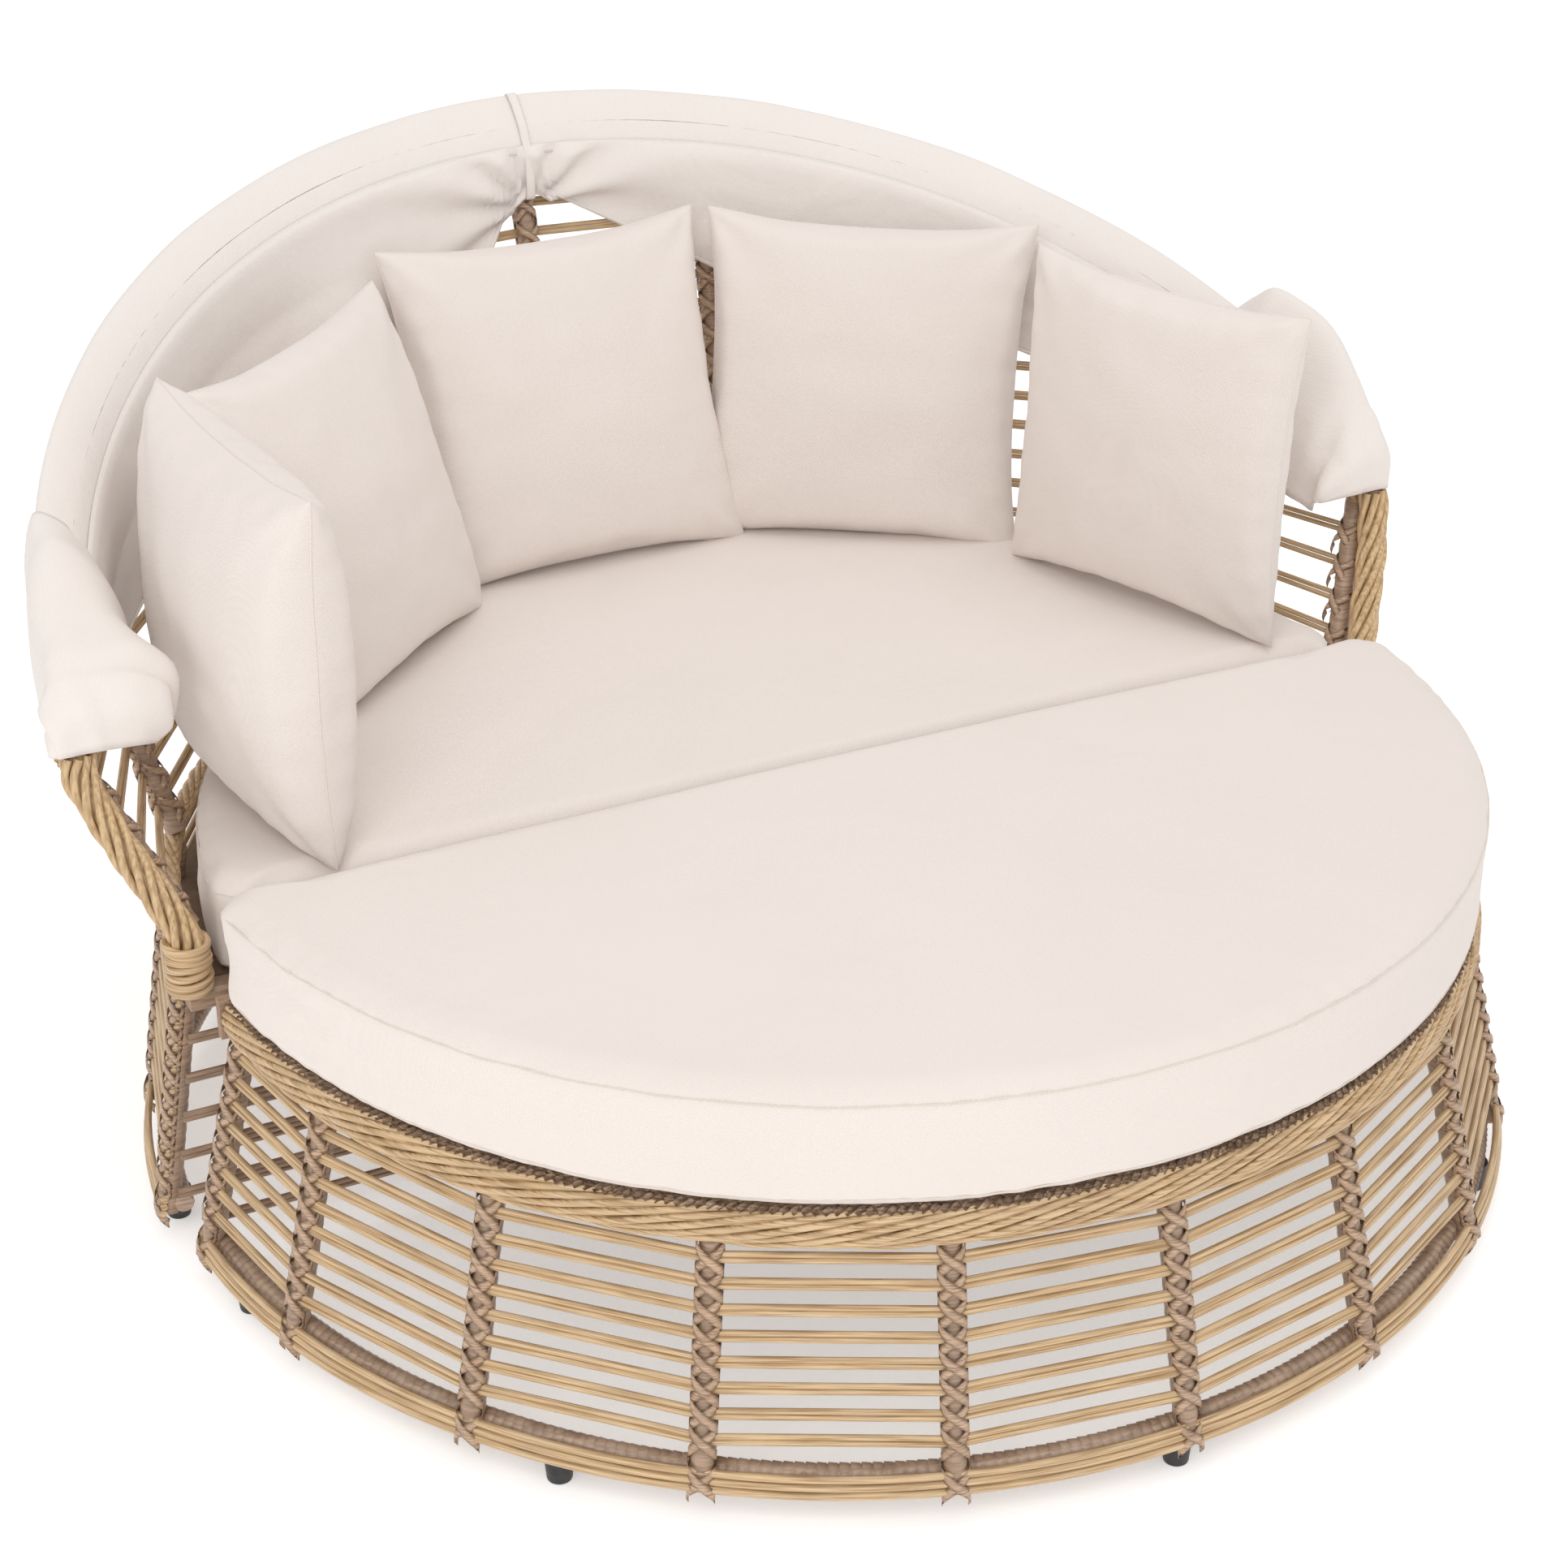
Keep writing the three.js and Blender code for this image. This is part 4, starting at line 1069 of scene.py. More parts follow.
@dataclass
class Ottoman(Half):
    """The front half disc without its cushion."""

    body: Body = Body.OTTOMAN
    wall: LeaningWall = LeaningWall(0.820, 0.760, 0.300, 0.010)
    first: float = 182.0
    last: float = 358.0
    reed_gap: float = 0.25
    row_count: int = 8
    ring_radius: float = 0.7925
    flat: FlatWall = FlatWall(0.819508, 0.759544, 0.300, -0.0085, 1)
    flat_side: str = "back"
    flat_post_top: float = 0.302
    feet: tuple[float, ...] = (188, 222, 270, 318, 352)
    end_bay: float = 13.95
    rim: Rope = Rope(0.0037, 0.0105, 0.0185, 12, 0.52)
    rim_radius: float = 0.7545
    rim_z: float = 0.3262
    braid_radius: float = 0.7520
    braid_z: float = 0.3505
    braid_pitch: float = 0.0105
    braid_tilt: float = 1.2
    braid_shift: float = 0.0036
    braid_slant: float = math.radians(40)
    braid_gap: float = 0.3
    strip_length: float = 0.0125
    strip_width: float = 0.0070
    strip_crown: float = 0.0010
    strip_thickness: float = 0.0012

    def build(self) -> None:
        """Builds and dresses every woven piece and the feet."""
        self.build_wall()
        rim = self.rim.on_arc("ottoman_rope_rim", self.rim_radius, self.wall.centre_y,
                              self.rope_angles(300), lambda y: self.rim_z)
        dress(rim, self.finishes.honey, self.body, ["ottoman_rim"])
        dress(self.rim_braid(), self.finishes.strip, self.body)
        self.build_flat()
        self.build_feet()

    def rim_braid(self) -> bpy.types.Object:
        """Makes the narrow herringbone braid of flat strips inside the rim.

        Returns:
            The piece.
        """
        strip = sheet_bmesh(2, 1, lambda u, v: Vector((
            (u - 0.5) * self.strip_length, -self.strip_crown * (1 - (2 * u - 1) ** 2),
            (v - 0.5) * self.strip_width)))
        thicken(strip, self.strip_thickness)
        first, last = self.first + self.braid_gap, self.last - self.braid_gap
        count = round(math.radians(last - first) * self.braid_radius / self.braid_pitch)
        places = []
        for i in range(count):
            for sign in (-1, 1):
                angle = lerp(first, last, (i + 0.25 * (1 + sign)) / count)
                out = outward(angle)
                front = out * math.cos(self.braid_tilt) + UP * math.sin(self.braid_tilt)
                at = polar(self.braid_radius, angle, self.wall.centre_y, self.braid_z)
                shift = Matrix.Translation((0, 0, sign * self.braid_shift))
                turn = Matrix.Rotation(sign * self.braid_slant, 4, "Y")
                places.append(frame_at(at, UP.cross(out), front) @ shift @ turn)
        return join_copies("ottoman_rim_braid", mesh_data("braid_template", strip), places)


@dataclass
class Sofa(Half):
    """The rear half disc: lower wall, waist, flared back, tilted rim and arms."""

    body: Body = Body.SOFA
    wall: LeaningWall = LeaningWall(0.840, 0.790, 0.380, 0)
    first: float = 4.0
    last: float = 176.0
    reed_gap: float = 0.2
    row_count: int = 11
    ring_radius: float = 0.8125
    flat: FlatWall = FlatWall(0.837984, 0.788104, 0.380, 0.0468, -1)
    flat_side: str = "front"
    flat_post_top: float = 0.318
    feet: tuple[float, ...] = (8, 42, 90, 138, 172)
    waist: Rope = Rope(0.0040, 0.0080, 0.0085, 7, 0.2)
    waist_radius: float = 0.780
    waist_z: float = 0.3925
    back: FlaredBack = FlaredBack()
    back_rows: tuple[float, ...] = tuple(0.4273 + 0.038 * j for j in range(13))
    back_foot: float = 0.404
    back_head: float = 0.004
    rim: Rope = Rope(0.0042, 0.0155, 0.0145, 12, 0.34)
    rim_radius: float = 0.862
    rim_drop: float = 0.0195
    arm: Rope = Rope(0.0047, 0.0158, 0.0130, 8, 0.27)
    arm_corners: tuple[tuple[float, float, float], ...] = (
        (0.784, 0.0373, 0.3433), (0.784, 0.0373, 0.405), (0.812, 0.066, 0.470),
        (0.843, 0.104, 0.535), (0.858, 0.1274, 0.580), (0.858, 0.135, 0.606))
    band_z: float = 0.349
    band_pitch: float = 0.0088
    band_loops: int = 7
    band_strand: float = 0.0047
    band_radii: tuple[float, float] = (0.0225, 0.0215)
    band_unevenness: float = 0.0012
    band_slant: float = 0.003

    def build(self) -> None:
        """Builds and dresses every woven piece and the feet."""
        self.build_wall()
        waist = self.waist.on_arc("sofa_waist_rope", self.waist_radius, 0, self.rope_angles(260),
                                  lambda y: self.waist_z)
        dress(waist, self.finishes.honey, self.body, ["sofa_waist_band"])
        self.build_flat()
        self.build_back()
        for sign, side in ((-1, "left"), (1, "right")):
            self.build_arm(sign, side)
        self.build_feet()

    def build_back(self) -> None:
        """Builds the flared back with its posts and ties, under a rope rim."""
        weaver = Weaver(self.finishes, "back", self.body, self.back, self.back.top_z)
        nodes = [f"sofa_back_{i}" for i in range(1, 6)]
        weaver.reeds(self.reed_stops(), self.back_rows, self.finishes.honey, nodes)
        weaver.posts(self.post_angles(), self.back_foot, lambda a: self.back.top_z(a) + self.back_head)
        weaver.ties(self.post_angles(), self.back_rows, True)
        rim = self.rim.on_arc("back_rope_rim", self.rim_radius, RIM_CENTRE_Y, self.rope_angles(320),
                              lambda y: rim_plane(y) - self.rim_drop)
        dress(rim, self.finishes.honey, self.body, ["sofa_back_rim"])

    def build_arm(self, sign: int, side: str) -> None:
        """Builds a twisted arm that falls from the rim's end, and the band wound round its foot.

        Args:
            sign: -1 for the left arm and 1 for the right one.
            side: the arm's name.
        """
        path = smooth_path([Vector((sign * x, y + SHIFT_Y, z)) for x, y, z in self.arm_corners], 10)
        lines = self.arm.lines(path, [Vector((1, 0, 0))] * len(path), Vector((0, 1, 0)))
        arm = strands(f"arm_rope_{side}", lines, self.arm.strand)
        dress(arm, self.finishes.upright, self.body, [f"arm_post_{side}"])
        x, y, _z = self.arm_corners[0]
        loops = []
        for k in range(self.band_loops):
            z = self.band_z + self.band_pitch * k
            wide = self.band_radii[0] + self.band_unevenness * math.sin(k * 2.2)
            loop = [Vector((sign * x + wide * math.cos(t), y + SHIFT_Y + self.band_radii[1] * math.sin(t),
                            z + self.band_slant * math.sin(t + k)))
                    for t in spread(0, 2 * math.pi * 23 / 24, 24)]
            loops.append(Line(loop, (), True))
        band = strands(f"arm_band_{side}", loops, self.band_strand)
        dress(band, self.finishes.honey, self.body)


# Soft goods


def settle(piece: bpy.types.Object, pressure: float, cap: float, stiffness: float) -> None:
    """Swells a closed cloth shell by simulation and keeps the result as plain mesh.

    Args:
        piece: the closed shell.
        pressure: how hard it is blown up.
        cap: how far a point may move from where it started.
        stiffness: the cloth's resistance to stretching.
    """
    cloth = piece.modifiers.new("cloth", "CLOTH")
    wanted = {"quality": 5, "mass": 0.25, "tension_stiffness": stiffness, "compression_stiffness": stiffness,
              "shear_stiffness": stiffness / 3, "bending_stiffness": 0.4, "use_pressure": True,
              "uniform_pressure_force": pressure, "shrink_min": 0.0}
    for key, value in wanted.items():
        setattr(cloth.settings, key, value)
    cloth.settings.effector_weights.gravity = 0
    for frame_number in range(1, 15):
        bpy.context.scene.frame_set(frame_number)
    settled = frozen_mesh(piece)
    piece.modifiers.clear()
    bpy.context.scene.frame_set(1)
    for vert, after in zip(piece.data.vertices, settled.vertices):
        move = after.co - vert.co
        vert.co += move * (min(cap, move.length) / max(move.length, 1e-12))
    bpy.data.meshes.remove(settled)


@dataclass
class SeatCushion:
    """A half-disc foam cushion in a sewn cover."""

    finishes: Finishes
    body: Body
    radius: float
    centre_y: float
    straight_y: float
    side: int
    bottom: float
    height: float
    corner: float = 0.030
    sewn_in: float = 0.004
    section: tuple[tuple[float, float], ...] = (
        (0.016, 0.0), (0.004, 0.05), (0.0, 0.12), (0.004, 0.5), (0.0, 0.88), (0.004, 0.96), (0.016, 1.0))
    voxel: float = 0.010
    crown: float = 0.0035
    crown_from: float = 0.7
    crown_middle: float = 0.45
    crown_limit: float = 0.0045
    unevenness: float = 0.0022
    corner_cut: float = 0.026
    fill: float = 0.9

    def outline(self, inset: float, z: float) -> list[Vector]:
        """Draws the plan outline.

        Args:
            inset: how far it is drawn in.
            z: its height.

        Returns:
            Its points: the arc, then the straight side.
        """
        radius = self.radius - inset
        straight = self.straight_y + self.side * inset
        lift = math.degrees(math.asin((straight - self.centre_y) / radius * self.side))
        start = lift + math.degrees(self.corner / radius)
        base = 180 if self.side < 0 else 0
        half = self.side * (radius * math.cos(math.radians(lift)) - self.corner_cut)
        return ([polar(radius, a, self.centre_y, z) for a in spread(base + start, base + 180 - start, 60)]
                + [Vector((x, SHIFT_Y + straight, z)) for x in spread(-half, half, 40)])

    def block(self) -> bpy.types.Object:
        """Makes the unswollen shell: the outline's face, drawn up ring by ring.

        Returns:
            The shell as an even voxel mesh.
        """
        rings = [self.outline(inset + self.sewn_in, self.bottom + share * self.height)
                 for inset, share in self.section]
        bm = bmesh.new()
        face = bm.faces.new([bm.verts.new(p) for p in rings[0]])
        for low, high in zip(rings, rings[1:]):
            moves = {tuple(a): b for a, b in zip(low, high)}
            drawn = bmesh.ops.extrude_face_region(bm, geom=[face])["geom"]
            face = next(item for item in drawn if isinstance(item, bmesh.types.BMFace))
            for vert in face.verts:
                vert.co = moves[tuple(vert.co)]
        bmesh.ops.recalc_face_normals(bm, faces=bm.faces)
        name = f"{self.body.value}_seat_cushion"
        piece = link_object(name, mesh_data(name, bm))
        remesh = piece.modifiers.new("voxels", "REMESH")
        remesh.mode = "VOXEL"
        remesh.voxel_size = self.voxel
        apply_modifiers(piece)
        return piece

    def round_top(self, piece: bpy.types.Object) -> None:
        """Gives the top its low crown and unevenness, and keeps top and underside in their bounds.

        Args:
            piece: the swollen shell.
        """
        middle = Vector((0, SHIFT_Y + self.centre_y + self.side * self.radius * self.crown_middle))
        for vert in piece.data.vertices:
            co = vert.co
            share = (co.z - self.bottom) / self.height
            away = min(1.0, (co.xy - middle).length / self.radius)
            if share > self.crown_from:
                low = noise.noise(Vector((co.x * 3.2, co.y * 3.2, 1.7))) * self.unevenness
                rise = self.crown * (1 - away * away) + low
                co.z += (share - self.crown_from) / (1 - self.crown_from) * rise
            co.z = min(max(co.z, self.bottom), self.bottom + self.height + self.crown_limit)

    def seam(self, share: float, lift: float, surface: BVHTree) -> Line:
        """Lays a seam round the cover.

        Args:
            share: its share of the cushion's height.
            lift: how far it stands off the cover.
            surface: the cover.

        Returns:
            The seam's line.
        """
        hits = [surface.find_nearest(p) for p in self.outline(-0.002, self.bottom + self.height * share)]
        return Line([at + normal * lift for at, normal, _index, _distance in hits], (), True)

    def build(self) -> None:
        """Builds the shell, swells it, lays its seams and dresses it."""
        piece = self.block()
        settle(piece, 3.0, 0.010, 25)
        self.round_top(piece)
        refine(piece)
        surface = surface_of(piece)
        dress(piece, self.finishes.cover, self.body, [f"{self.body.value}_cushion"])
        seams = strands(piece.name + "_seams", [self.seam(0.955, 0.0002, surface),
                                                self.seam(0.06, 0.0, surface)], SEAM_RADIUS, 1)
        dress(seams, self.finishes.seam, self.body)


@dataclass(frozen=True)
class PillowPlace:
    """Where a pillow stands and faces; turn counts quarter turns, and a negative plump mirrors it."""

    x: float
    y: float
    z: float
    yaw: float
    lean: float
    turn: int
    size: float
    plump: float = 1.08
    roll: float = 0.0

    def matrix(self) -> Matrix:
        """Sets the pillow in its place.

        Returns:
            The matrix from the shell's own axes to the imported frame.
        """
        yaw, lean = math.radians(self.yaw), math.radians(self.lean)
        level = Vector((math.cos(yaw), math.sin(yaw), 0))
        up = UP * math.cos(lean) - level * math.sin(lean)
        out = level * math.cos(lean) + UP * math.sin(lean)
        turned = Matrix((UP.cross(level), out, up)).transposed().to_4x4()
        turned.translation = Vector((self.x, self.y + SHIFT_Y, self.z))
        rolled = Matrix.Rotation(math.radians(90 * self.turn + self.roll), 4, "Y")
        return turned @ rolled @ Matrix.Diagonal((self.size, self.plump, self.size, 1))


@dataclass
class Pillows:
    """Five square pillows with a thin seam all round; a shell has X across, Z up and Y through."""

    finishes: Finishes
    size: float = 0.434
    thickness: float = 0.128
    slack: float = 1.035
    cells: int = 52
    half_swell: float = 0.052
    roughness: float = 0.004
    waist: float = 0.007
    gather: float = 0.0021
    corner_fan: float = 0.0042
    fill: float = 0.75
    places: tuple[PillowPlace, ...] = (
        PillowPlace(-0.6290, 0.2391, 0.6779, 4.6, 0, 2, 1.02, 1.36),
        PillowPlace(-0.4154, 0.5170, 0.6724, -48.6, 17.4, 1, 1.04),
        PillowPlace(-0.0219, 0.7421, 0.6740, -88.6, 20, 0, 1.06, -1.08),
        PillowPlace(0.3771, 0.6449, 0.6680, -121, 14, 3, 1.035, roll=1.8),
        PillowPlace(0.5877, 0.2450, 0.6796, -160.7, 4, 2, 1.0, -1.08),
    )

    def face_point(self, face: int, u: float, v: float) -> Vector:
        """Shapes one side of the thin shell.

        Args:
            face: 1 for the front side and -1 for the rear one.
            u: share across it.
            v: share up it.

        Returns:
            The point.
        """
        a, b = 2 * u - 1, 2 * v - 1
        half = self.size * self.slack / 2
        swell = max(0.0, (1 - a * a) * (1 - b * b)) ** 0.62
        rough = self.roughness * noise.noise(Vector((a * 4, b * 4, 7.3 + face)))
        return Vector((a * (half - self.waist * (1 - b * b)), face * swell * (self.half_swell + rough),
                       b * (half - self.waist * (1 - a * a))))

    def swollen_shell(self) -> tuple[bpy.types.Object, list[int]]:
        """Makes the shell that every pillow copies.

        Returns:
            The shell, and its vertices on the seam, in order round it.
        """
        bm = merged([sheet_bmesh(self.cells, self.cells, partial(self.face_point, face)) for face in (-1, 1)])
        bmesh.ops.remove_doubles(bm, verts=bm.verts, dist=0.0004)
        bmesh.ops.recalc_face_normals(bm, faces=bm.faces)
        shell = link_object("pillow_shell", mesh_data("pillow_shell", bm))
        rim = [v for v in shell.data.vertices if abs(v.co.y) < 1e-6]
        order = [v.index for v in sorted(rim, key=lambda v: math.atan2(v.co.z, v.co.x))]
        settle(shell, 1.7, 0.015, 22)
        soft = bmesh.new()
        soft.from_mesh(shell.data)
        for _ in range(4):
            bmesh.ops.smooth_vert(soft, verts=soft.verts, factor=0.5, use_axis_x=True, use_axis_y=True,
                                  use_axis_z=True)
        soft.to_mesh(shell.data)
        soft.free()
        reach = self.size / 2 / max(max(abs(v.co.x), abs(v.co.z)) for v in shell.data.vertices)
        depth = self.thickness / 2 / max(abs(v.co.y) for v in shell.data.vertices)
        shell.data.transform(Matrix.Diagonal((reach, depth, reach, 1)))
        self.pucker(shell)
        return shell, order

    def pucker(self, shell: bpy.types.Object) -> None:
        """Adds the small gathers along the seam and the creases that fan out from the corners.

        Args:
            shell: the swollen shell.
        """
        half = self.size / 2
        for vert in shell.data.vertices:
            x, y, z = vert.co
            upright = abs(x) > abs(z)
            run, away = (z, half - abs(x)) if upright else (x, half - abs(z))
            phase = 1.7 + (2.0 if upright else 0.4) + math.copysign(0.8, x + z)
            near = math.exp(-away / 0.024) * min(1.0, away / 0.010)
            shift = self.gather * near * math.sin(run / 0.0072 + phase)
            for cx in (-half, half):
                for cz in (-half, half):
                    reach = math.hypot(x - cx, z - cz)
                    turn = math.atan2(abs(z - cz), abs(x - cx))
                    fan = math.exp(-reach / 0.075) * min(1.0, reach / 0.03)
                    shift += self.corner_fan * fan * math.sin(9 * turn + cx * 9 + cz * 5 + 1)
            vert.co.y += math.copysign(min(1.0, abs(y) / 0.006), y) * shift

    def build(self) -> None:
        """Swells one shell, and sets a turned or mirrored copy of it at each place."""
        shell, rim = self.swollen_shell()
        for i, place in enumerate(self.places, 1):
            whole = place.matrix()
            data = shell.data.copy()
            data.transform(whole)
            if whole.determinant() < 0:
                data.flip_normals()
            edge = [data.vertices[index].co.copy() for index in rim]
            piece = link_object(f"scatter_pillow_{i}", data)
            refine(piece)
            surface = surface_of(piece)
            dress(piece, self.finishes.cover, Body.SOFA, [f"pillow_{i}"])
            seam = Line([surface.find_nearest(p)[0] for p in edge], (), True)
            dress(strands(f"pillow_seam_{i}", [seam], SEAM_RADIUS, 1), self.finishes.cover, Body.SOFA)
        bpy.data.objects.remove(shell)


@dataclass
class Canopy:
    """The folded canopy: gores between its bows, sleeve, slack cloth, end cloths and tie strap.

    A profile lists (radius, rise) round the rim's section, from the outside over to the inside.
    """

    finishes: Finishes
    bow_rises: tuple[float, ...] = (0.00690, 0.02069, 0.03448, 0.04828)
    gore_radius: float = 0.8605
    gore_ends: tuple[float, float] = (8.97, 171.03)
    gore_fold: float = 0.022
    seam_radius: float = 0.816
    seam_rise: float = 0.01565
    drape_ends: tuple[float, float] = (9.0, 171.0)
    drape_end_depth: float = 0.060
    drape_strap_depth: float = 0.036
    folds: float = 9.35
    fold_depth: float = 0.006
    ray_depth: float = 0.010
    belly_depth: float = 0.012
    hem_radius: float = 0.0030
    sleeve_ends: tuple[float, float] = (5.6, 174.4)
    sleeve_flare: float = 0.0105
    crumple_depth: float = 0.0022
    pucker_depth: float = 0.0011
    sleeve_profile: tuple[tuple[float, float], ...] = (
        (0.8742, 0.01165), (0.8745, 0.028), (0.8742, 0.0435), (0.8732, 0.0535), (0.8690, 0.0575),
        (0.8600, 0.0562), (0.8500, 0.0520), (0.8400, 0.0462), (0.8310, 0.0395), (0.8225, 0.0290),
        (0.8160, 0.0160))
    strap_profile: tuple[tuple[float, float], ...] = (
        (0.8890, 0.0105), (0.8800, 0.0320), (0.8775, 0.0470), (0.8735, 0.0590), (0.8640, 0.0617),
        (0.8500, 0.0572), (0.8310, 0.0445), (0.8205, 0.0310), (0.8115, 0.0170), (0.8085, -0.005),
        (0.8075, -0.024), (0.8100, -0.042))
    strap_half_width: float = 0.0065
    end_stations: tuple[tuple[float, float, float], ...] = (
        (21.0, 0.0, 0.0), (18.6, 0.5, 0.05), (16.6, 0.87, 0.1), (13.0, 0.96, 0.3), (9.5, 0.95, 0.75),
        (6.8, 0.72, 1.0), (5.2, 0.41, 0.95))
    end_close: tuple[tuple[float, float], ...] = (
        (0.8735, 0.0120), (0.8738, 0.0400), (0.8722, 0.0530), (0.8600, 0.0550), (0.8390, 0.0445),
        (0.8165, 0.0150), (0.8080, -0.012), (0.8030, -0.045))
    end_full: tuple[tuple[float, float], ...] = (
        (0.8835, -0.002), (0.8840, 0.0330), (0.8785, 0.0590), (0.8600, 0.0660), (0.8370, 0.0580),
        (0.8100, 0.0330), (0.7930, -0.006), (0.7830, -0.045))
    end_lift: tuple[float, ...] = (0.0, 0.1, 0.65, 1.0, 0.85, 0.5, 0.2, 0.0)
    end_puff: tuple[float, ...] = (0.0, 0.0, 0.0, 0.05, 0.25, 0.7, 1.0, 0.75)
    end_cap: tuple[tuple[float, float, tuple[tuple[float, float, float], ...]], ...] = (
        (0.85, 0.018, ((0.8835, 0.156, 0.626), (0.8840, 0.151, 0.650), (0.8755, 0.147, 0.671),
                       (0.8590, 0.145, 0.679), (0.8350, 0.142, 0.672), (0.8060, 0.140, 0.652),
                       (0.7880, 0.139, 0.622), (0.7770, 0.140, 0.598))),
        (0.45, 0.008, ((0.8830, 0.147, 0.614), (0.8830, 0.135, 0.633), (0.8740, 0.125, 0.650),
                       (0.8550, 0.121, 0.658), (0.8300, 0.119, 0.653), (0.8020, 0.120, 0.638),
                       (0.7820, 0.123, 0.619), (0.7710, 0.131, 0.602))),
        (0.0, 0.0, ((0.8820, 0.148, 0.604), (0.8820, 0.134, 0.606), (0.8730, 0.124, 0.610),
                    (0.8530, 0.119, 0.613), (0.8280, 0.117, 0.613), (0.8020, 0.119, 0.611),
                    (0.7820, 0.125, 0.607), (0.7720, 0.136, 0.602))),
    )

    def drape_depth(self, angle: float) -> float:
        """Says how far the slack cloth hangs; the strap pulls it up at 90 degrees.

        Args:
            angle: the angle.

        Returns:
            Its depth below the rim's top.
        """
        deepest, strap_reach = (0.158, 24) if angle < 90 else (0.205, 12)
        depth = lerp(self.drape_end_depth, deepest, max(0.0, math.sin(math.radians(angle))) ** 0.8)
        depth *= min(1.0, 0.2 + (min(angle, 180 - angle) - self.drape_ends[0]) / 11)
        return lerp(depth, self.drape_strap_depth, max(0.0, 1 - abs(angle - 90) / strap_reach))

    def sleeve_point(self, u: float, v: float) -> Vector:
        """Shapes the sleeve.

        Args:
            u: share along the bow.
            v: share from the outer hem over to the seam.

        Returns:
            The point.
        """
        angle = lerp(*self.sleeve_ends, u)
        radius, rise = along(self.sleeve_profile, v)
        near_end = max(0.0, 1 - min(angle - self.sleeve_ends[0], self.sleeve_ends[1] - angle) / 6.5)
        outer = max(0.0, 1 - v / 0.5)
        radius += 0.001 * near_end * min(1.0, outer * 2)
        radius += self.sleeve_flare * outer ** 1.5 * math.sin(math.radians(angle))
        here = outward(angle) * 1.3
        crumple = noise.noise(Vector((here.x * 5, here.y * 5, v * 3.0)))
        pucker = math.sin(angle * 2.9 + 2 * math.sin(angle * 0.31)) * max(0.0, v - 0.72) * 3.2
        lift = self.crumple_depth * crumple * math.sin(math.pi * min(1.0, v * 1.15))
        lift += self.pucker_depth * pucker
        return rim_point(radius + 0.4 * lift, angle, rise + max(lift, -0.0006))

    def drape_point(self, u: float, v: float) -> Vector:
        """Shapes the slack cloth: it falls from the seam inside the woven back.

        Args:
            u: share along the back.
            v: share from the seam down.

        Returns:
            The point.
        """
        angle = lerp(*self.drape_ends, u)
        rise = lerp(self.seam_rise + 0.010, -self.drape_depth(angle), v)
        turn = math.radians(angle)
        wall = FlaredBack()(angle, rim_plane(polar(0.82, angle, RIM_CENTRE_Y, 0).y) + rise, -0.014)
        wall_radius = math.hypot(wall.x, wall.y - SHIFT_Y - RIM_CENTRE_Y)
        radius = min(self.seam_radius - CANVAS + 0.5 * max(0.0, rise - self.seam_rise), wall_radius - 0.025)
        across = self.seam_radius * (turn - math.pi / 2)
        down = rise + 0.055
        reach = math.hypot(across, down)
        bearing = math.atan2(down, abs(across) + 1e-6)
        rays = math.sin(bearing * 11 + (0 if across > 0 else 1.3)) * math.exp(-reach / 0.22)
        slow = math.sin(self.folds * turn + 0.8 * math.sin(3 * turn))
        fold = self.fold_depth * slow * min(1.0, max(0.0, -rise - 0.02) / 0.08)
        fold += self.ray_depth * rays * min(1.0, reach / 0.05, v / 0.12)
        belly = self.belly_depth * math.sin(math.pi * v) * min(1.0, abs(across) / 0.2)
        return rim_point(radius + fold - belly, angle, rise)

    def build(self) -> None:
        """Builds every cloth piece."""
        f = self.finishes
        bodies = (Body.SOFA, Body.SECOND, Body.THIRD, Body.FRONT)
        for k, name in enumerate(("rear", "middle", "front")):
            self.build_gore(k, name, bodies[k], bodies[k + 1])
        sleeve = cloth_object("canopy_sleeve_cloth", sheet_bmesh(220, 24, self.sleeve_point))
        dress(sleeve, f.canopy, Body.FRONT, ["canopy_sleeve"])
        drape = cloth_object("canopy_slack_cloth", sheet_bmesh(260, 26, self.drape_point))
        dress(drape, f.canopy, Body.FRONT, ["canopy_drape"])
        hem_line = Line([self.drape_point(u, 1.0) for u in spread(0.0, 1.0, 200)])
        hem = strands("canopy_slack_hem", [hem_line], self.hem_radius)
        dress(hem, f.canopy, Body.FRONT)
        for piece in (drape, hem):
            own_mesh(piece)
        self.build_strap()
        for sign, side in ((-1, "left"), (1, "right")):
            self.build_end(sign, side)

    def build_end(self, sign: int, side: str) -> None:
        """Builds the cloth bunched over one hinge.

        Args:
            sign: -1 for the left end and 1 for the right one.
            side: the end's name.
        """
        tall, puffed = (0.10, 1.0) if sign < 0 else (1.0, 0.25)
        rows = []
        for angle, crest, puff in self.end_stations:
            row = []
            for close, full, lift, share in zip(self.end_close, self.end_full, self.end_lift, self.end_puff):
                grown = min(1.0, 1.6 * crest)
                push = puff * share * puffed
                rise = lerp(close[1], full[1], grown) + 0.078 * crest * lift * tall + 0.052 * push
                row.append(rim_point(lerp(close[0], full[0], grown) - 0.050 * push, angle, rise))
            rows.append(smooth_path(row, 5))
        for puff, high, cap in self.end_cap:
            row = []
            for (x, y, z), share, lift in zip(cap, self.end_puff, self.end_lift):
                push = 0.046 * puff * share * puffed
                row.append(Vector((x - push, y + SHIFT_Y, z + push + high * lift * tall)))
            rows.append(smooth_path(row, 5))
        columns = [smooth_path(list(column), 5) for column in zip(*rows)]
        middles = [sum(line, Vector()) / len(line) for line in zip(*columns)]

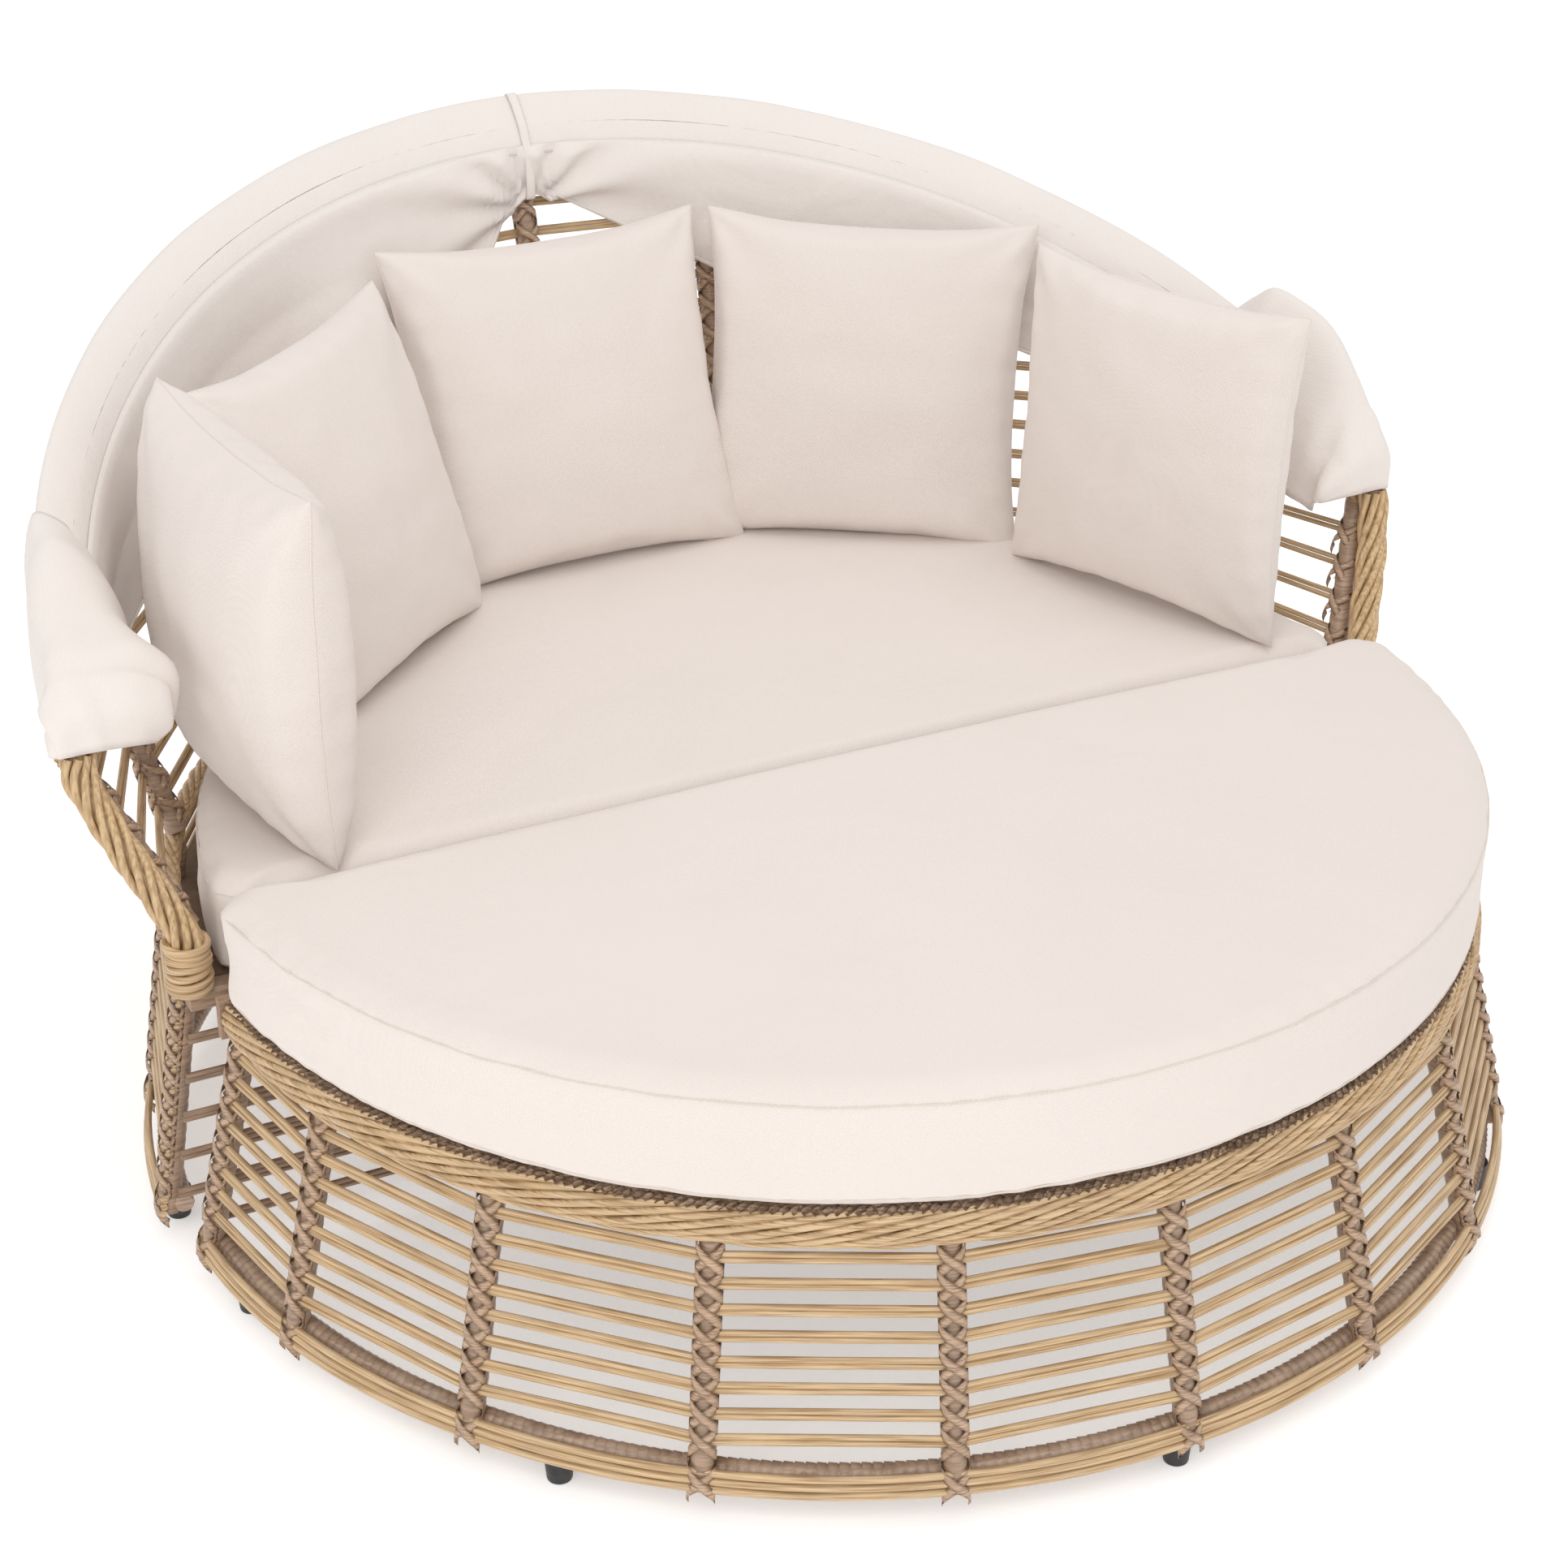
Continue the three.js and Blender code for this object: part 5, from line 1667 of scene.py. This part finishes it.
        def on_end(u: float, v: float) -> Vector:
            """Shapes the bunched cloth.

            Args:
                u: share from its outer hem inwards.
                v: share forwards to the front hem.

            Returns:
                The point.
            """
            row = round(v * (len(middles) - 1))
            p = columns[round(u * (len(columns) - 1))][row]
            wave = math.sin(2 * math.pi * (2.6 * v + 0.9 * u + 0.12 * math.sin(7 * u + sign)))
            fine = math.sin(2 * math.pi * (4.2 * u + 0.5 * math.sin(4 * v + sign))) * v ** 2
            crumple = noise.noise(Vector((u * 4 + sign * 3, v * 5, 0.5)))
            free = min(1.0, 5 * u) * min(1.0, 4 * (1 - v) + 0.35)
            out = (p - middles[row]).normalized()
            p = p + out * (0.0032 * wave * free + 0.0030 * fine + 0.0060 * crumple * free)
            return Vector((sign * p.x, p.y, p.z))

        grid = sheet_bmesh(len(columns) - 1, len(columns[0]) - 1, on_end)
        piece = cloth_object(f"canopy_end_cloth_{side}", grid)
        dress(piece, self.finishes.canopy, Body.SOFA)
        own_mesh(piece)

    def build_gore(self, k: int, name: str, low_body: Body, high_body: Body) -> None:
        """Builds a folded strip of cloth between two bows.

        Args:
            k: number of the lower bow.
            name: the gore's name.
            low_body: the lower bow's body.
            high_body: the upper bow's body.
        """
        low, high = self.bow_rises[k], self.bow_rises[k + 1]

        def on_gore(u: float, v: float) -> Vector:
            """Point of the gore: u along the bow, v from the lower bow to the upper one."""
            radius = self.gore_radius - self.gore_fold * (1 - abs(2 * v - 1))
            return rim_point(radius, lerp(*self.gore_ends, u), lerp(low + CANVAS, high - CANVAS, v))

        piece = cloth_object(f"canopy_{name}_gore_cloth", sheet_bmesh(120, 12, on_gore), 0.0011)
        piece.data.materials.append(self.finishes.canopy)
        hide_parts(f"canopy_{name}_gore")
        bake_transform(piece)
        LOG.info("piece %s between %s and %s", piece.name, low_body.value, high_body.value)

    def build_strap(self) -> None:
        """Builds the short flat strap that ties the slack cloth up in the middle of the back.
        """
        path = smooth_path([Vector((radius, 0, rise)) for radius, rise in self.strap_profile], 4)
        half = math.degrees(self.strap_half_width / 0.86)

        def on_strap(u: float, v: float) -> Vector:
            """Point of the strap: u along it, v across it."""
            p = along(path, u)
            return rim_point(p.x, 90 + lerp(half, -half, v), p.z)

        strap = cloth_object("canopy_strap_webbing", sheet_bmesh(44, 4, on_strap), 0.0018)
        dress(strap, self.finishes.canopy, Body.FRONT, ["canopy_tie_strap"])
        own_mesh(strap)


# Frame nodes, stage and camera


def finish_frame_nodes(finishes: Finishes) -> None:
    """Gives every CAD node its finish, for those that stay in view.

    Args:
        finishes: every material.
    """
    for name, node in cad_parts.items():
        material = finishes.board if "deck" in name else finishes.wrap
        if "bow" in name or "hinge" in name:
            material = finishes.steel
        node.data.materials.clear()
        node.data.materials.append(material)


@dataclass
class Studio:
    """Floor, lights, white surroundings and the camera at the photograph's viewing angle."""

    eye: tuple[float, float, float] = (-1.514, -2.872, 2.117)
    yaw: float = 26.73
    pitch: float = 27.4
    roll: float = 0.13
    focal: float = 3800 / 1932 * 36
    world_level: float = 0.76
    floor_glow: float = 0.40
    aim: tuple[float, float, float] = (0, 0, 0.4)

    def build(self) -> None:
        """Builds the whole stage."""
        self.build_floor()
        self.build_world()
        self.add_lamp("key", Vector((-2.4, -3.0, 3.4)), 2.8, 58)
        self.add_lamp("top", Vector((0.8, -0.4, 4.2)), 3.0, 31)
        self.build_camera()

    def build_floor(self) -> None:
        """A pale floor that shows white to the camera where nothing shades it."""
        bm = bmesh.new()
        bmesh.ops.create_circle(bm, cap_ends=True, segments=64, radius=9)
        floor = link_object("studio_floor", mesh_data("studio_floor", bm))
        material, _nodes, shader = fresh_material("studio_floor")
        for label, value in (("Base Color", (0.9, 0.9, 0.9, 1)), ("Roughness", 0.9),
                             ("Specular IOR Level", 0.0), ("Emission Color", (1, 1, 1, 1)),
                             ("Emission Strength", self.floor_glow)):
            shader.inputs[label].default_value = value
        floor.data.materials.append(material)

    def build_world(self) -> None:
        """White to the camera and in reflections, and a plain soft light elsewhere."""
        world = bpy.data.worlds.new("studio")
        world.use_nodes = True
        bpy.context.scene.world = world
        n = Nodes(world.node_tree)
        world.node_tree.nodes.clear()
        rays = n.add("ShaderNodeLightPath").outputs
        seen = n.maths("MAXIMUM", rays["Is Camera Ray"], rays["Is Glossy Ray"])
        seen = n.maths("MAXIMUM", seen, rays["Is Transmission Ray"])
        lit = n.add("ShaderNodeBackground", in_0=(1, 0.99, 0.98, 1), in_1=self.world_level)
        white = n.add("ShaderNodeBackground", in_0=(1, 1, 1, 1), in_1=1.0)
        mix = n.add("ShaderNodeMixShader", in_0=seen, in_1=lit.outputs[0], in_2=white.outputs[0])
        n.add("ShaderNodeOutputWorld", in_0=mix.outputs[0])

    def add_lamp(self, name: str, at: Vector, size: float, power: float) -> None:
        """Adds one soft area lamp aimed at the seat.

        Args:
            name: the lamp's name.
            at: where it hangs.
            size: the length of its sides.
            power: its power in watts.
        """
        lamp = bpy.data.lights.new(name, "AREA")
        lamp.size = size
        lamp.energy = power
        holder = link_object(name, lamp)
        holder.location = at
        holder.rotation_euler = (Vector(self.aim) - at).to_track_quat("-Z", "Y").to_euler()

    def build_camera(self) -> None:
        """Sets the camera to the photograph's viewing angle."""
        yaw, pitch = math.radians(self.yaw), math.radians(self.pitch)
        forward = Vector((math.sin(yaw) * math.cos(pitch), math.cos(yaw) * math.cos(pitch), -math.sin(pitch)))
        right = Vector((math.cos(yaw), -math.sin(yaw), 0))
        data = bpy.data.cameras.new("photo_view")
        data.lens = self.focal
        data.sensor_width = 36
        camera = link_object("photo_view", data)
        turned = Matrix((right, right.cross(forward), -forward)).transposed()
        turned = turned @ Matrix.Rotation(math.radians(self.roll), 3, "Z")
        eye = Vector(self.eye) + Vector((0, SHIFT_Y, 0))
        camera.matrix_world = Matrix.Translation(eye) @ turned.to_4x4()
        bpy.context.scene.camera = camera
        bpy.context.scene.view_settings.view_transform = "Standard"


def main() -> None:
    """Builds the daybed and its stage."""
    logging.basicConfig(level=logging.INFO, format="%(message)s")
    finishes = Finishes()
    Ottoman(finishes).build()
    Sofa(finishes).build()
    SeatCushion(finishes, Body.OTTOMAN, 0.778, 0.010, 0.002, -1, 0.3503, 0.136).build()
    SeatCushion(finishes, Body.SOFA, 0.761, 0.0, 0.012, 1, 0.3433, 0.118).build()
    Pillows(finishes).build()
    Canopy(finishes).build()
    finish_frame_nodes(finishes)
    Studio().build()


if __name__ == "__main__":
    main()
